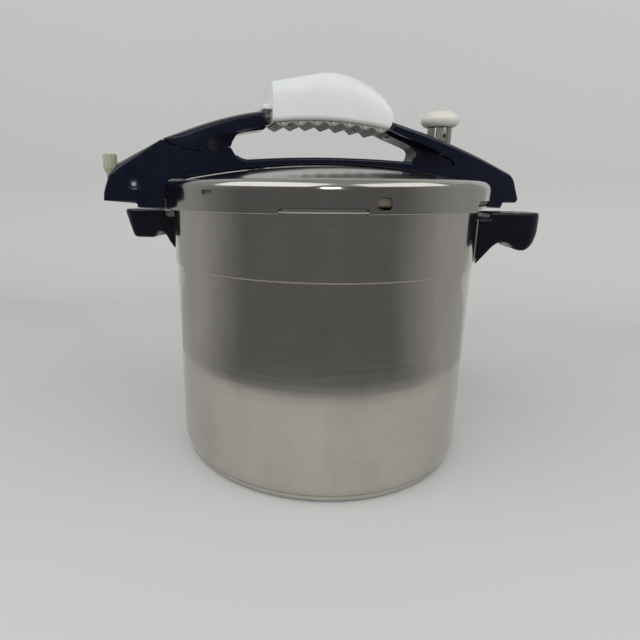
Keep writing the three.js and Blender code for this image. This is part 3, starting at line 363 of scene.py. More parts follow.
def soften(outline: Sequence[Point], radius: float, sharp: float = 24.0, steps: int = 4) -> list[Point]:
    """Rounds the corners of an outline that turn more than an angle.

    Args:
        outline: The corners in order, in millimetres.
        radius: Radius of the rounding, less where the sides are short.
        sharp: Smallest turn that is rounded, in degrees.
        steps: Facets across a rounding.

    Returns:
        The new outline.
    """
    corners = [Vector(p) for p in outline]
    result: list[Point] = []
    for i, here in enumerate(corners):
        back = corners[i - 1] - here
        ahead = corners[(i + 1) % len(corners)] - here
        turn = math.pi - back.angle(ahead)
        if math.degrees(turn) < sharp:
            result.append(tuple(here))
            continue
        reach = min(radius * math.tan(turn / 2), 0.45 * back.length, 0.45 * ahead.length)
        start, end = here + back.normalized() * reach, here + ahead.normalized() * reach
        for j in range(steps + 1):
            t = j / steps
            result.append(tuple((1 - t) ** 2 * start + 2 * t * (1 - t) * here + t * t * end))
    return result


def inset(outline: Sequence[Point], amount: float, share: Callable[[Vector], float]) -> list[Point]:
    """Moves an outline's sides inwards; a side that shrinks away becomes one corner.

    Args:
        outline: The corners in order, in millimetres.
        amount: How far the sides move.
        share: How much of it a corner takes, from 0 to 1.

    Returns:
        As many corners as there were, some of them in one place.
    """
    spots = [Vector(p) for p in outline]
    shares = [share(spot) for spot in spots]
    members = [[i] for i in range(len(spots))]
    area = sum(a.x * b.y - b.x * a.y for a, b in zip(spots, spots[1:] + spots[:1]))
    side = math.copysign(1, area)
    steps = max(1, math.ceil(amount / 0.25))
    for _ in range(steps if amount > 0 else 0):
        count = len(spots)
        moved = []
        for i, here in enumerate(spots):
            back = (here - spots[i - 1]).normalized()
            ahead = (spots[(i + 1) % count] - here).normalized()
            middle = Vector((-back.y - ahead.y, back.x + ahead.x)).normalized() * side
            slope = max(0.35, middle.dot(Vector((-back.y, back.x)) * side))
            moved.append(here + middle * (amount / steps / slope * shares[i]))
        met = []
        for i in range(count):
            j = (i + 1) % count
            span = moved[j] - moved[i]
            met.append(span.length < 0.03 or span.dot(spots[j] - spots[i]) <= 0)
        first = next(i for i in range(count) if not met[i - 1])
        runs: list[list[int]] = []
        for i in [(first + k) % count for k in range(count)]:
            if runs and met[i - 1]:
                runs[-1].append(i)
            else:
                runs.append([i])
        spots = [sum((moved[i] for i in run), Vector((0, 0))) / len(run) for run in runs]
        shares = [sum(shares[i] for i in run) / len(run) for run in runs]
        members = [[m for i in run for m in members[i]] for run in runs]
    result: list[Point] = [(0.0, 0.0)] * len(outline)
    for spot, group in zip(spots, members):
        for i in group:
            result[i] = tuple(spot)
    return result


def soft_slab(
    name: str,
    outline: Sequence[Point],
    half_width: float,
    edge: float,
    share: Callable[[Vector], tuple[float, float]] = lambda corner: (1.0, 0.0),
    crown: tuple[float, float] = (3.0, 9.0),
    steps: int = 6,
) -> bpy.types.Object:
    """A slab whose long edges are rounded on both faces, and crowned where they are asked to be.

    Args:
        name: Name of the new object.
        outline: The corners in X and Z, in millimetres.
        half_width: Half of the width along Y.
        edge: Radius of the rounded edges.
        share: How much of the rounding and of the crown a corner takes, from 0 to 1.
        crown: How far a crowned edge falls, and how far in from the face that begins.
        steps: Facets across a rounding.

    Returns:
        The solid, in object mode.
    """
    fall, run = crown
    depths = [edge * (1 - math.sin(math.radians(90 * (1 - i / steps)))) for i in range(steps + 1)]
    depths += [edge + (run - edge) * i / 4 for i in range(1, 5)]
    near = []
    for depth in depths:
        lack = max(0.0, 1 - depth / edge)
        rounded = edge * (1 - math.sqrt(1 - lack * lack))
        fallen = fall * max(0.0, 1 - depth / run) ** 2
        whole = rounded + fallen

        def part(corner: Vector, moves: Point = (rounded, fallen)) -> float:
            """What a corner takes of the whole movement."""
            first, second = share(corner)
            return (moves[0] * first + moves[1] * second) / sum(moves)

        near.append((half_width - depth, inset(outline, whole, part) if whole > 1e-6 else list(outline)))
    rings = [[Vector((x, -y, z)) for x, z in drawn] for y, drawn in near]
    rings += [[Vector((x, y, z)) for x, z in drawn] for y, drawn in reversed(near)]
    return lofted(name, rings)


def swing(piece: bpy.types.Object, degrees: float) -> bpy.types.Object:
    """Turns a finished piece about the cooker's axis and applies it."""
    piece.rotation_euler.z = math.radians(degrees)
    settle(piece)
    return piece


def shift(piece: bpy.types.Object, x: float = 0.0, y: float = 0.0) -> bpy.types.Object:
    """Moves a finished piece, in millimetres, and applies it."""
    piece.location = Vector((x, y, 0)) * MM
    settle(piece)
    return piece


def apply(piece: bpy.types.Object, kind: str, **settings: Any) -> None:
    """Adds a modifier with its settings and applies it.

    Args:
        piece: The object to change.
        kind: The modifier's type.
        **settings: Its properties.
    """
    focus(piece)
    modifier = piece.modifiers.new(kind.title(), kind)
    for key, value in settings.items():
        setattr(modifier, key, value)
    bpy.ops.object.modifier_apply(modifier=modifier.name)


def combine(piece: bpy.types.Object, other: bpy.types.Object, operation: str) -> bpy.types.Object:
    """Joins, cuts or intersects two solids and removes the second.

    Args:
        piece: The solid that is kept.
        other: The tool solid.
        operation: UNION, DIFFERENCE or INTERSECT.

    Returns:
        The first solid.
    """
    apply(piece, "BOOLEAN", object=other, operation=operation, solver="EXACT")
    bpy.data.objects.remove(other, do_unlink=True)
    return piece


def cut(piece: bpy.types.Object, *cutters: bpy.types.Object) -> bpy.types.Object:
    """Cuts several solids out of a piece, one after another."""
    for cutter in cutters:
        combine(piece, cutter, "DIFFERENCE")
    return piece


def clean(piece: bpy.types.Object, distance: float = 0.01) -> None:
    """Merges the doubles that a cut leaves and dissolves its slivers, in millimetres."""
    focus(piece)
    bpy.ops.object.mode_set(mode="EDIT")
    bpy.ops.mesh.select_all(action="SELECT")
    bpy.ops.mesh.remove_doubles(threshold=distance * MM)
    bpy.ops.mesh.dissolve_degenerate(threshold=distance * MM)
    bpy.ops.object.mode_set(mode="OBJECT")


def round_edges(piece: bpy.types.Object, width: float, segments: int = 3, angle: float = 30.0) -> None:
    """Bevels every edge sharper than an angle.

    Args:
        piece: The solid to round.
        width: Width of the rounding, in millimetres.
        segments: Facets across it.
        angle: Edges flatter than this, in degrees, stay.
    """
    apply(
        piece,
        "BEVEL",
        width=width * MM,
        segments=segments,
        limit_method="ANGLE",
        angle_limit=math.radians(angle),
        use_clamp_overlap=True,
        miter_outer="MITER_ARC",
    )


def smooth(piece: bpy.types.Object, angle: float = 35.0, weighted: bool = True) -> None:
    """Shades a piece smooth except over sharp edges, with flats that stay flat.

    Args:
        piece: The piece to shade.
        angle: Edges sharper than this stay sharp, in degrees.
        weighted: Whether large faces hold their own normal.
    """
    focus(piece)
    bpy.ops.object.shade_smooth_by_angle(angle=math.radians(angle))
    if weighted:
        apply(piece, "WEIGHTED_NORMAL", keep_sharp=True, weight=50)


def quarter(cx: float, cz: float, radius: float, start: float, end: float, steps: int = 8) -> list[Point]:
    """Points of an arc, with angles in degrees.

    Args:
        cx: Centre, first coordinate.
        cz: Centre, second coordinate.
        radius: Its radius.
        start: First angle.
        end: Last angle.
        steps: Facets along it.

    Returns:
        The points, both ends included.
    """
    return [
        (
            cx + radius * math.cos(math.radians(start + (end - start) * i / steps)),
            cz + radius * math.sin(math.radians(start + (end - start) * i / steps)),
        )
        for i in range(steps + 1)
    ]


def fluted(radius: float, depth: float, flutes: int, per_flute: int = 8) -> list[Point]:
    """Outline of a bar with shallow flutes.

    Args:
        radius: Radius over the ridges.
        depth: Depth of a flute.
        flutes: How many there are.
        per_flute: Facets in each.

    Returns:
        The points once round.
    """
    count = flutes * per_flute
    outline = []
    for i in range(count):
        angle = 2 * math.pi * i / count
        r = radius - depth * (1 - math.cos(flutes * angle)) / 2
        outline.append((r * math.cos(angle), r * math.sin(angle)))
    return outline


@dataclass
class Outline:
    """A flat outline that grows by lines and curves, in millimetres.

    Attributes:
        points: The points so far.
    """

    points: list[Point] = field(default_factory=list)

    def line(self, *steps: Point) -> "Outline":
        """Adds straight steps."""
        self.points.extend(steps)
        return self

    def curve(self, handle: Point, end: Point, steps: int = 12) -> "Outline":
        """Adds a curve that leaves and arrives towards one handle.

        Args:
            handle: The point that the curve leans to.
            end: Where it ends.
            steps: Facets along it.

        Returns:
            The outline itself.
        """
        begin = self.points[-1]
        for i in range(1, steps + 1):
            t = i / steps
            self.points.append(
                tuple(
                    (1 - t) ** 2 * a + 2 * t * (1 - t) * h + t * t * b
                    for a, h, b in zip(begin, handle, end)
                )
            )
        return self


# ---------------------------------------------------------------- finishes


def linear(code: str) -> tuple[float, float, float, float]:
    """Turns an sRGB hex value to linear colour with full cover."""
    parts = [int(code[i : i + 2], 16) / 255 for i in (1, 3, 5)]
    parts = [p / 12.92 if p <= 0.04045 else ((p + 0.055) / 1.055) ** 2.4 for p in parts]
    return (*parts, 1.0)


def add_node(
    material: bpy.types.Material | bpy.types.World,
    kind: str,
    settings: dict[str, Any] | None = None,
    inputs: dict[str | int, Any] | None = None,
) -> bpy.types.ShaderNode:
    """Adds one node, sets it and links what it is given.

    Args:
        material: The material or world that owns the tree.
        kind: The node's type, without its prefix.
        settings: Its properties.
        inputs: A socket to link or a value for each named input.

    Returns:
        The node.
    """
    tree = material.node_tree
    node = tree.nodes.new(f"ShaderNode{kind}")
    for key, value in (settings or {}).items():
        setattr(node, key, value)
    for key, value in (inputs or {}).items():
        if isinstance(value, bpy.types.NodeSocket):
            tree.links.new(value, node.inputs[key])
        else:
            node.inputs[key].default_value = value
    return node


def cleared(name: str) -> bpy.types.Material:
    """A new material with an empty node tree."""
    material = bpy.data.materials.new(name)
    material.use_nodes = True
    material.node_tree.nodes.clear()
    return material


@dataclass(frozen=True)
class Finish:
    """A finish that a piece can be dressed in.

    Attributes:
        name: The real material and how its surface was made.
        slot: The record's material slot; not used.
    """

    name: str
    slot: str

    def blank(self) -> tuple[bpy.types.Material, bpy.types.ShaderNode, bpy.types.NodeSocket]:
        """A fresh material, its shader and its object coordinates."""
        material = cleared(self.name)
        shader = add_node(material, "BsdfPrincipled")
        add_node(material, "OutputMaterial", inputs={"Surface": shader.outputs[0]})
        where = add_node(material, "TexCoord").outputs["Object"]
        return material, shader, where

    def noise(
        self,
        material: bpy.types.Material,
        where: bpy.types.NodeSocket,
        size: float,
        detail: float = 3.0,
        stretch: tuple[float, float, float] = (1, 1, 1),
    ) -> bpy.types.NodeSocket:
        """Soft noise whose blotches have a real size.

        Args:
            material: The material to add to.
            where: Coordinates in metres.
            size: Size of a blotch, in millimetres.
            detail: Finer layers on top.
            stretch: How much longer the blotches are along each axis.

        Returns:
            The noise's value.
        """
        scale = tuple(1 / (size * MM * s) for s in stretch)
        mapped = add_node(material, "Mapping", inputs={"Vector": where, "Scale": scale})
        return add_node(
            material,
            "TexNoise",
            inputs={"Vector": mapped.outputs[0], "Scale": 1.0, "Detail": detail, "Roughness": 0.6},
        ).outputs["Fac"]

    def spread(
        self,
        material: bpy.types.Material,
        value: bpy.types.NodeSocket,
        low: float,
        high: float,
        start: float = 0.3,
        end: float = 0.7,
    ) -> bpy.types.NodeSocket:
        """Maps a value from one range to another.

        Args:
            material: The material to add to.
            value: The value to map.
            low: Result at the start.
            high: Result at the end.
            start: Where the value's range begins.
            end: Where it ends.

        Returns:
            The mapped value.
        """
        return add_node(
            material,
            "MapRange",
            inputs={"Value": value, "From Min": start, "From Max": end, "To Min": low, "To Max": high},
        ).outputs[0]

    def mixed(
        self,
        material: bpy.types.Material,
        share: bpy.types.NodeSocket,
        first: str | bpy.types.NodeSocket,
        second: str,
    ) -> bpy.types.NodeSocket:
        """Mixes two colours by a value.

        Args:
            material: The material to add to.
            share: How much of the second shows.
            first: Hex value or colour socket.
            second: Hex value.

        Returns:
            The mixed colour.
        """
        node = add_node(material, "Mix", {"data_type": "RGBA"}, {0: share})
        if isinstance(first, str):
            node.inputs[6].default_value = linear(first)
        else:
            material.node_tree.links.new(first, node.inputs[6])
        node.inputs[7].default_value = linear(second)
        return node.outputs[2]

    def relief(
        self,
        material: bpy.types.Material,
        height: bpy.types.NodeSocket,
        depth: float,
        strength: float = 1.0,
        under: bpy.types.NodeSocket | None = None,
    ) -> bpy.types.NodeSocket:
        """Bump of a real depth.

        Args:
            material: The material to add to.
            height: Value from 0 to 1.
            depth: Depth in millimetres.
            strength: Share of the bump that shows.
            under: A coarser bump below it.

        Returns:
            The normal.
        """
        inputs = {"Height": height, "Distance": depth * MM, "Strength": strength}
        if under is not None:
            inputs["Normal"] = under
        return add_node(material, "Bump", inputs=inputs).outputs[0]

    def build(self) -> bpy.types.Material:
        """Makes the material; each kind of finish has its own."""
        raise NotImplementedError


@dataclass(frozen=True)
class Steel(Finish):
    """Stainless steel, drawn and then brushed or rolled.

    Attributes:
        bright: Colour where it is clean.
        dull: Colour where fingers and heat have dulled it.
        wear: How much of the dull colour shows at most.
        rough: Lowest and highest roughness.
        grain: Width of a brushed line, in millimetres; drawn coarser than real so that it shows.
        grain_depth: Depth of the lines, in millimetres.
        anisotropy: How much the brushing spreads a highlight across the lines.
    """

    bright: str = "#C4C0B8"
    dull: str = "#A39D92"
    wear: float = 0.38
    rough: tuple[float, float] = (0.1, 0.16)
    grain: float = 0.4
    grain_depth: float = 0.0012
    anisotropy: float = 0.6

    def build(self) -> bpy.types.Material:
        """Brushed lines run round the axis and spread light up and down; stains are soft and few."""
        material, shader, where = self.blank()
        stains = self.noise(material, where, 22, 5, (1, 1, 1.8))
        drops = self.noise(material, where, 5, 2)
        lines = self.noise(material, where, self.grain, 2, (120, 120, 1))
        bands = self.noise(material, where, 3.5, 3, (30, 30, 1))
        soiled = self.spread(material, stains, 0.0, self.wear, 0.45, 0.8)
        dried = self.spread(material, drops, 0.0, self.wear * 0.5, 0.66, 0.76)
        brushed = self.spread(material, lines, 0.0, self.wear * 0.4)
        colour = self.mixed(material, soiled, self.bright, self.dull)
        colour = self.mixed(material, dried, colour, self.dull)
        colour = self.mixed(material, brushed, colour, self.dull)
        rough = self.spread(material, bands, *self.rough)
        links = material.node_tree.links
        links.new(colour, shader.inputs["Base Color"])
        links.new(rough, shader.inputs["Roughness"])
        links.new(self.relief(material, lines, self.grain_depth, 0.6), shader.inputs["Normal"])
        shader.inputs["Metallic"].default_value = 1.0
        shader.inputs["Anisotropic"].default_value = self.anisotropy
        shader.inputs["Anisotropic Rotation"].default_value = 0.25
        tangent = add_node(material, "Tangent", {"direction_type": "RADIAL", "axis": "Z"})
        links.new(tangent.outputs[0], shader.inputs["Tangent"])
        return material


@dataclass(frozen=True)
class Moulded(Finish):
    """A moulded plastic with swells from shrinking, handling marks and dust.

    Attributes:
        colour: Its clean colour.
        worn: Its colour in worn or dusty patches.
        wear: How much of the worn colour shows at most.
        rough: Lowest and highest roughness.
        swell: Depth of the broad swells, in millimetres.
        marks: Depth of the fine marks, in millimetres.
        gloss: Specular level.
    """

    colour: str = "#060A1E"
    worn: str = "#13172E"
    wear: float = 0.22
    rough: tuple[float, float] = (0.1, 0.19)
    swell: float = 1.0
    marks: float = 0.0006
    gloss: float = 0.5

    def build(self) -> bpy.types.Material:
        """Dusty patches over the colour, fine marks and broad swells in the gloss."""
        material, shader, where = self.blank()
        blotch = self.noise(material, where, 16, 6)
        marks = self.noise(material, where, 1.6, 4)
        wave = self.noise(material, where, 34, 0)
        colour = self.mixed(
            material, self.spread(material, blotch, 0.0, self.wear, 0.5, 0.78), self.colour, self.worn
        )
        links = material.node_tree.links
        links.new(colour, shader.inputs["Base Color"])
        links.new(self.spread(material, blotch, *self.rough), shader.inputs["Roughness"])
        coarse = self.relief(material, wave, self.swell, 1.0)
        links.new(self.relief(material, marks, self.marks, 0.5, coarse), shader.inputs["Normal"])
        shader.inputs["IOR"].default_value = 1.5
        shader.inputs["Specular IOR Level"].default_value = self.gloss
        return material


class Finishes(Enum):
    """Every finish of the cooker."""

    # Drawn and brushed round the axis: highlights stretch up and down the wall.
    POT_STEEL = Steel("drawn_brushed_stainless_steel", "brushed_steel")
    # Rolled and polished: shallower lines and less streaked highlights than on the pot.
    LID_STEEL = Steel(
        "rolled_polished_stainless_steel",
        "polished_steel",
        bright="#B5B2AD",
        dull="#96928B",
        rough=(0.1, 0.17),
        grain=0.5,
        grain_depth=0.0008,
        anisotropy=0.3,
    )
    # Turned on a lathe: fine close rings and a soft sheen.
    SMALL_STEEL = Steel(
        "turned_stainless_steel",
        "polished_steel",
        bright="#B4B1AA",
        dull="#928E87",
        rough=(0.18, 0.28),
        grain=0.25,
        grain_depth=0.002,
        anisotropy=0.3,
    )
    # Pressed and left dull: stains and a broad grey sheen.
    PLATE_STEEL = Steel("pressed_stainless_steel_plate", "brushed_steel", rough=(0.3, 0.42))
    # Cast and unpolished: a flat grey with no streaked highlight.
    DISC_ALUMINIUM = Steel(
        "cast_aluminium_disc",
        "aluminium_core",
        bright="#C4C3BF",
        dull="#A3A29E",
        rough=(0.4, 0.55),
        anisotropy=0.0,
    )
    # Moulded in a polished tool: near black with a blue cast, and gloss that swims a little.
    NAVY = Moulded("moulded_phenolic_navy", "navy_plastic", gloss=0.38)
    # The same plastic in a darker shade, with a softer gloss.
    BLACK_NAVY = Moulded(
        "moulded_phenolic_black_navy",
        "black_navy_plastic",
        colour="#060917",
        worn="#111422",
        rough=(0.18, 0.3),
        swell=0.3,
        gloss=0.38,
    )
    # Glossy white, greyer in handled patches.
    WHITE = Moulded(
        "moulded_white_melamine",
        "white_plastic",
        colour="#D9DCDA",
        worn="#BFC1BB",
        wear=0.3,
        rough=(0.2, 0.3),
        swell=0.4,
    )
    # A satin grey that paints the shade under the white grip, with darker dirty patches.
    GREY_PAINTED_SHADE = Moulded(
        "moulded_nylon_grey_painted_shade", "grey_plastic", colour="#9DA09B", worn="#767871", rough=(0.4, 0.55), swell=0.0
    )
    # A warm white with a soft satin gloss.
    IVORY = Moulded(
        "moulded_ivory_nylon", "ivory_plastic", colour="#D6D4CA", worn="#ABA696", rough=(0.3, 0.45), swell=0.2
    )
    # A grey green with little gloss.
    OLIVE = Moulded(
        "moulded_olive_nylon", "olive_plastic", colour="#A6A88E", worn="#84866C", rough=(0.35, 0.5), swell=0.0
    )
    # A steel strap coloured near black to paint the shade in the gaps at the grip's ends: an even satin.
    BLACK_STEEL_PAINTED_SHADE = Moulded(
        "steel_strap_black_painted_shade", "black_steel", colour="#17181C", worn="#2A2B2F", rough=(0.3, 0.45), swell=0.0
    )
    # Rubber coloured a dark grey brown that paints the shade under the lid's skirt, with a bloom of dust: no
    # clear highlight.
    SILICONE_PAINTED_SHADE = Moulded(
        "cast_silicone_rubber", "silicone", colour="#615D51", worn="#4B483F", rough=(0.55, 0.7), swell=0.0
    )


class Wardrobe:
    """Keeps one material for each finish and dresses pieces in it."""

    def __init__(self) -> None:
        """Starts with no material made."""
        self.made: dict[Finishes, bpy.types.Material] = {}

    def material(self, finish: Finishes) -> bpy.types.Material:
        """Returns a finish's material, made on first use."""
        if finish not in self.made:
            self.made[finish] = finish.value.build()
        return self.made[finish]

    def dress(self, piece: bpy.types.Object, finish: Finishes) -> None:
        """Gives a piece one finish all over."""
        piece.data.materials.clear()
        piece.data.materials.append(self.material(finish))

    def fit(self, piece: bpy.types.Object, finish: Finishes, body: str, *nodes: str) -> None:
        """Dresses a new piece, lets it ride on its body and stand for its solids.

        Args:
            piece: The finished mesh.
            finish: Its finish.
            body: The body that carries it.
            *nodes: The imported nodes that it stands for.
        """
        self.dress(piece, finish)
        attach(piece, body)
        if nodes:
            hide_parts(*nodes)
        log.info("%s: %d faces on %s", piece.name, len(piece.data.polygons), body)

    def keep(self, frame: dict[str, Any], finish: Finishes, *nodes: str) -> None:
        """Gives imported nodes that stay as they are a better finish.

        Args:
            finish: Their finish.
            *nodes: Their names.
        """
        for name in nodes:
            self.dress(frame["nodes"][name], finish)
            log.info("%s: kept, in %s", name, finish.value.name)


# ---------------------------------------------------------------- pot


@dataclass
class Bayonet:
    """Sizes that the pot's rim and the lid share, in millimetres and degrees."""

    pot_height: float = 206.0
    band_radius: float = 122.2
    rim_lip: float = 1.0
    lug_play: float = 0.9
    claw_reach: float = 4.0
    skirt_thickness: float = 1.2
    flange: float = 2.5
    turn: float = 20.0
    gap_centres: tuple[float, ...] = (-11.5, 72.5, 168.5, 252.5)
    gap_widths: tuple[float, ...] = (87.0, 25.0, 87.0, 25.0)
    gap_rises: tuple[float, ...] = (7.2, 3.7, 7.2, 3.7)

    @property
    def rim_radius(self) -> float:
        """Radius of the rim between its lugs."""
        return self.band_radius + self.rim_lip

    @property
    def claw_radius(self) -> float:
        """Inner radius of the lid's claws."""
        return self.rim_radius + self.lug_play

    @property
    def skirt_inner(self) -> float:
        """Inner radius of the lid's skirt."""
        return self.claw_radius + self.claw_reach

    @property
    def lid_radius(self) -> float:
        """Outer radius of the lid's skirt."""
        return self.skirt_inner + self.skirt_thickness

    @property
    def skirt_bottom(self) -> float:
        """Lower edge of the lid's skirt."""
        return self.pot_height - self.flange - 1.4


@dataclass
class Pot:
    """The drawn pot with its lugged rim, sandwich base and step below the band."""

    wardrobe: Wardrobe
    bayonet: Bayonet
    radius: float = 121.0
    wall: float = 1.0
    corner: float = 8.0
    band_height: float = 45.6
    base: float = 6.0
    base_inset: float = 2.5
    base_edge: float = 2.5
    base_skin: float = 0.8
    cap_top: float = 6.6
    seam: float = 0.12
    heel_height: float = 16.0
    heel_width: float = 13.0

    def heel(self, start: float, end: float, steps: int = 8) -> list[Point]:
        """The soft outer corner that wall and base share, between two heights."""
        points = []
        for i in range(steps + 1):
            z = start + (end - start) * i / steps
            off = (self.heel_height - z) / self.heel_height
            points.append((self.radius - self.heel_width * (1 - math.sqrt(max(0.0, 1 - off * off))), z))
        return points

    def shell(self) -> bpy.types.Object:
        """Turns the wall, then draws the rim out into lugs."""
        b = self.bayonet
        band_bottom = b.pot_height - self.band_height
        inner = self.radius - self.wall
        inner_band = b.band_radius - self.wall
        lug_bottom = b.pot_height - b.flange
        profile = [
            (0, self.base),
            (inner - 6, self.base),
            (inner - 2.6, self.base + 1.5),
            (inner - 1.7, self.cap_top + self.seam),
            *self.heel(self.cap_top + self.seam, self.heel_height),
            (self.radius, band_bottom - 0.9),
            (self.radius + 0.15, band_bottom - 0.7),
            (b.band_radius - 0.2, band_bottom - 0.1),
            (b.band_radius, band_bottom + 0.15),
            (b.band_radius, lug_bottom - b.rim_lip),
            (b.rim_radius - 0.1, lug_bottom),
            (b.rim_radius, lug_bottom),
            (b.rim_radius, b.pot_height - 0.5),
            (b.rim_radius - 0.5, b.pot_height),
            (inner_band, b.pot_height),
            (inner_band, band_bottom + 1),
            (inner, band_bottom - 1),
            *quarter(self.radius - self.corner, self.base + self.corner, self.corner - self.wall, 0, -90, 10),
            (0, self.base + self.wall),
        ]
        piece = turned("pot_wall", profile, 360)
        lug_radius = b.skirt_inner - 0.6
        for centre, width in zip(b.gap_centres, b.gap_widths):
            half = width / 2 - b.lug_play
            middle = centre + b.turn

            def on_lug(point: Vector, middle: float = middle, half: float = half) -> bool:
                """Whether a point of the rim's outer face lies on this lug."""
                angle = math.degrees(math.atan2(point.y, point.x))
                off = (angle - middle + 180) % 360 - 180
                depth = 0.05 if point.z < lug_bottom + 0.3 else 0.7
                outside = math.hypot(point.x, point.y) > b.rim_radius - depth
                return outside and point.z > lug_bottom - 0.3 and abs(off) <= half + 0.01

            pick(piece, on_lug)
            grow = (lug_radius - 0.15) / b.rim_radius
            bpy.ops.transform.resize(value=(grow, grow, 1), center_override=(0, 0, 0))
            bpy.ops.object.mode_set(mode="OBJECT")
        smooth(piece, 30)
        return piece

    def cap(self) -> bpy.types.Object:
        """Turns the steel skin round the base's aluminium disc."""
        inner = self.radius - self.base_inset - self.base_skin
        foot = self.radius - self.heel_width
        heel = self.heel(0, self.cap_top, 14)
        profile = [
            (0, 0),
            (foot - 1, 0),
            *heel[1:],
            (heel[-1][0] - 0.3, self.cap_top + 0.05),
            (inner, self.cap_top + 0.05),
            (inner, self.base_edge),
            (inner - self.base_edge, self.base_skin),
            (0, self.base_skin),
        ]
        piece = turned("base_skin", profile, 360)
        smooth(piece, 30)
        return piece

    def build(self, frame: dict[str, Any]) -> None:
        """Makes and dresses the pot.
        """
        self.wardrobe.fit(self.shell(), Finishes.POT_STEEL, "pot", "pot_shell")
        self.wardrobe.fit(self.cap(), Finishes.POT_STEEL, "pot", "base_cap")
        self.wardrobe.keep(frame, Finishes.DISC_ALUMINIUM, "base_core")


@dataclass(frozen=True)
class Mould:
    """Shape of one side handle: millimetres below its top or in from its end.

    Attributes:
        name: Which side it is on.
        turn: Where it points, in degrees.
        drop: Its lowest point, at the pot.
        lean: Slope of its end face.
        side: Height of its end face.
        nose: Underside of the nose.
        nose_back: Where the nose begins.
        nose_length: How long the nose is flat.
        hollow: Roof of the finger hollow.
        hollow_back: Where the hollow is highest.
        fall: Where the underside turns down to the pot.
        fall_reach: The same point's distance from the pot.
    """

    name: str
    turn: float
    drop: float
    lean: float
    side: float
    nose: float
    nose_back: float
    nose_length: float
    hollow: float
    hollow_back: float
    fall: float
    fall_reach: float


class Side(Enum):
    """The two side handles, which differ in shape."""

    RIGHT = Mould("right", 0.0, 41.0, 0.0, 12.7, 29.0, 11.5, 0.5, 22.8, 28.2, 29.5, 9.3)
    LEFT = Mould("left", 180.0, 34.0, 7.0, 19.4, 23.4, 14.3, 11.5, 18.4, 34.6, 25.8, 5.4)


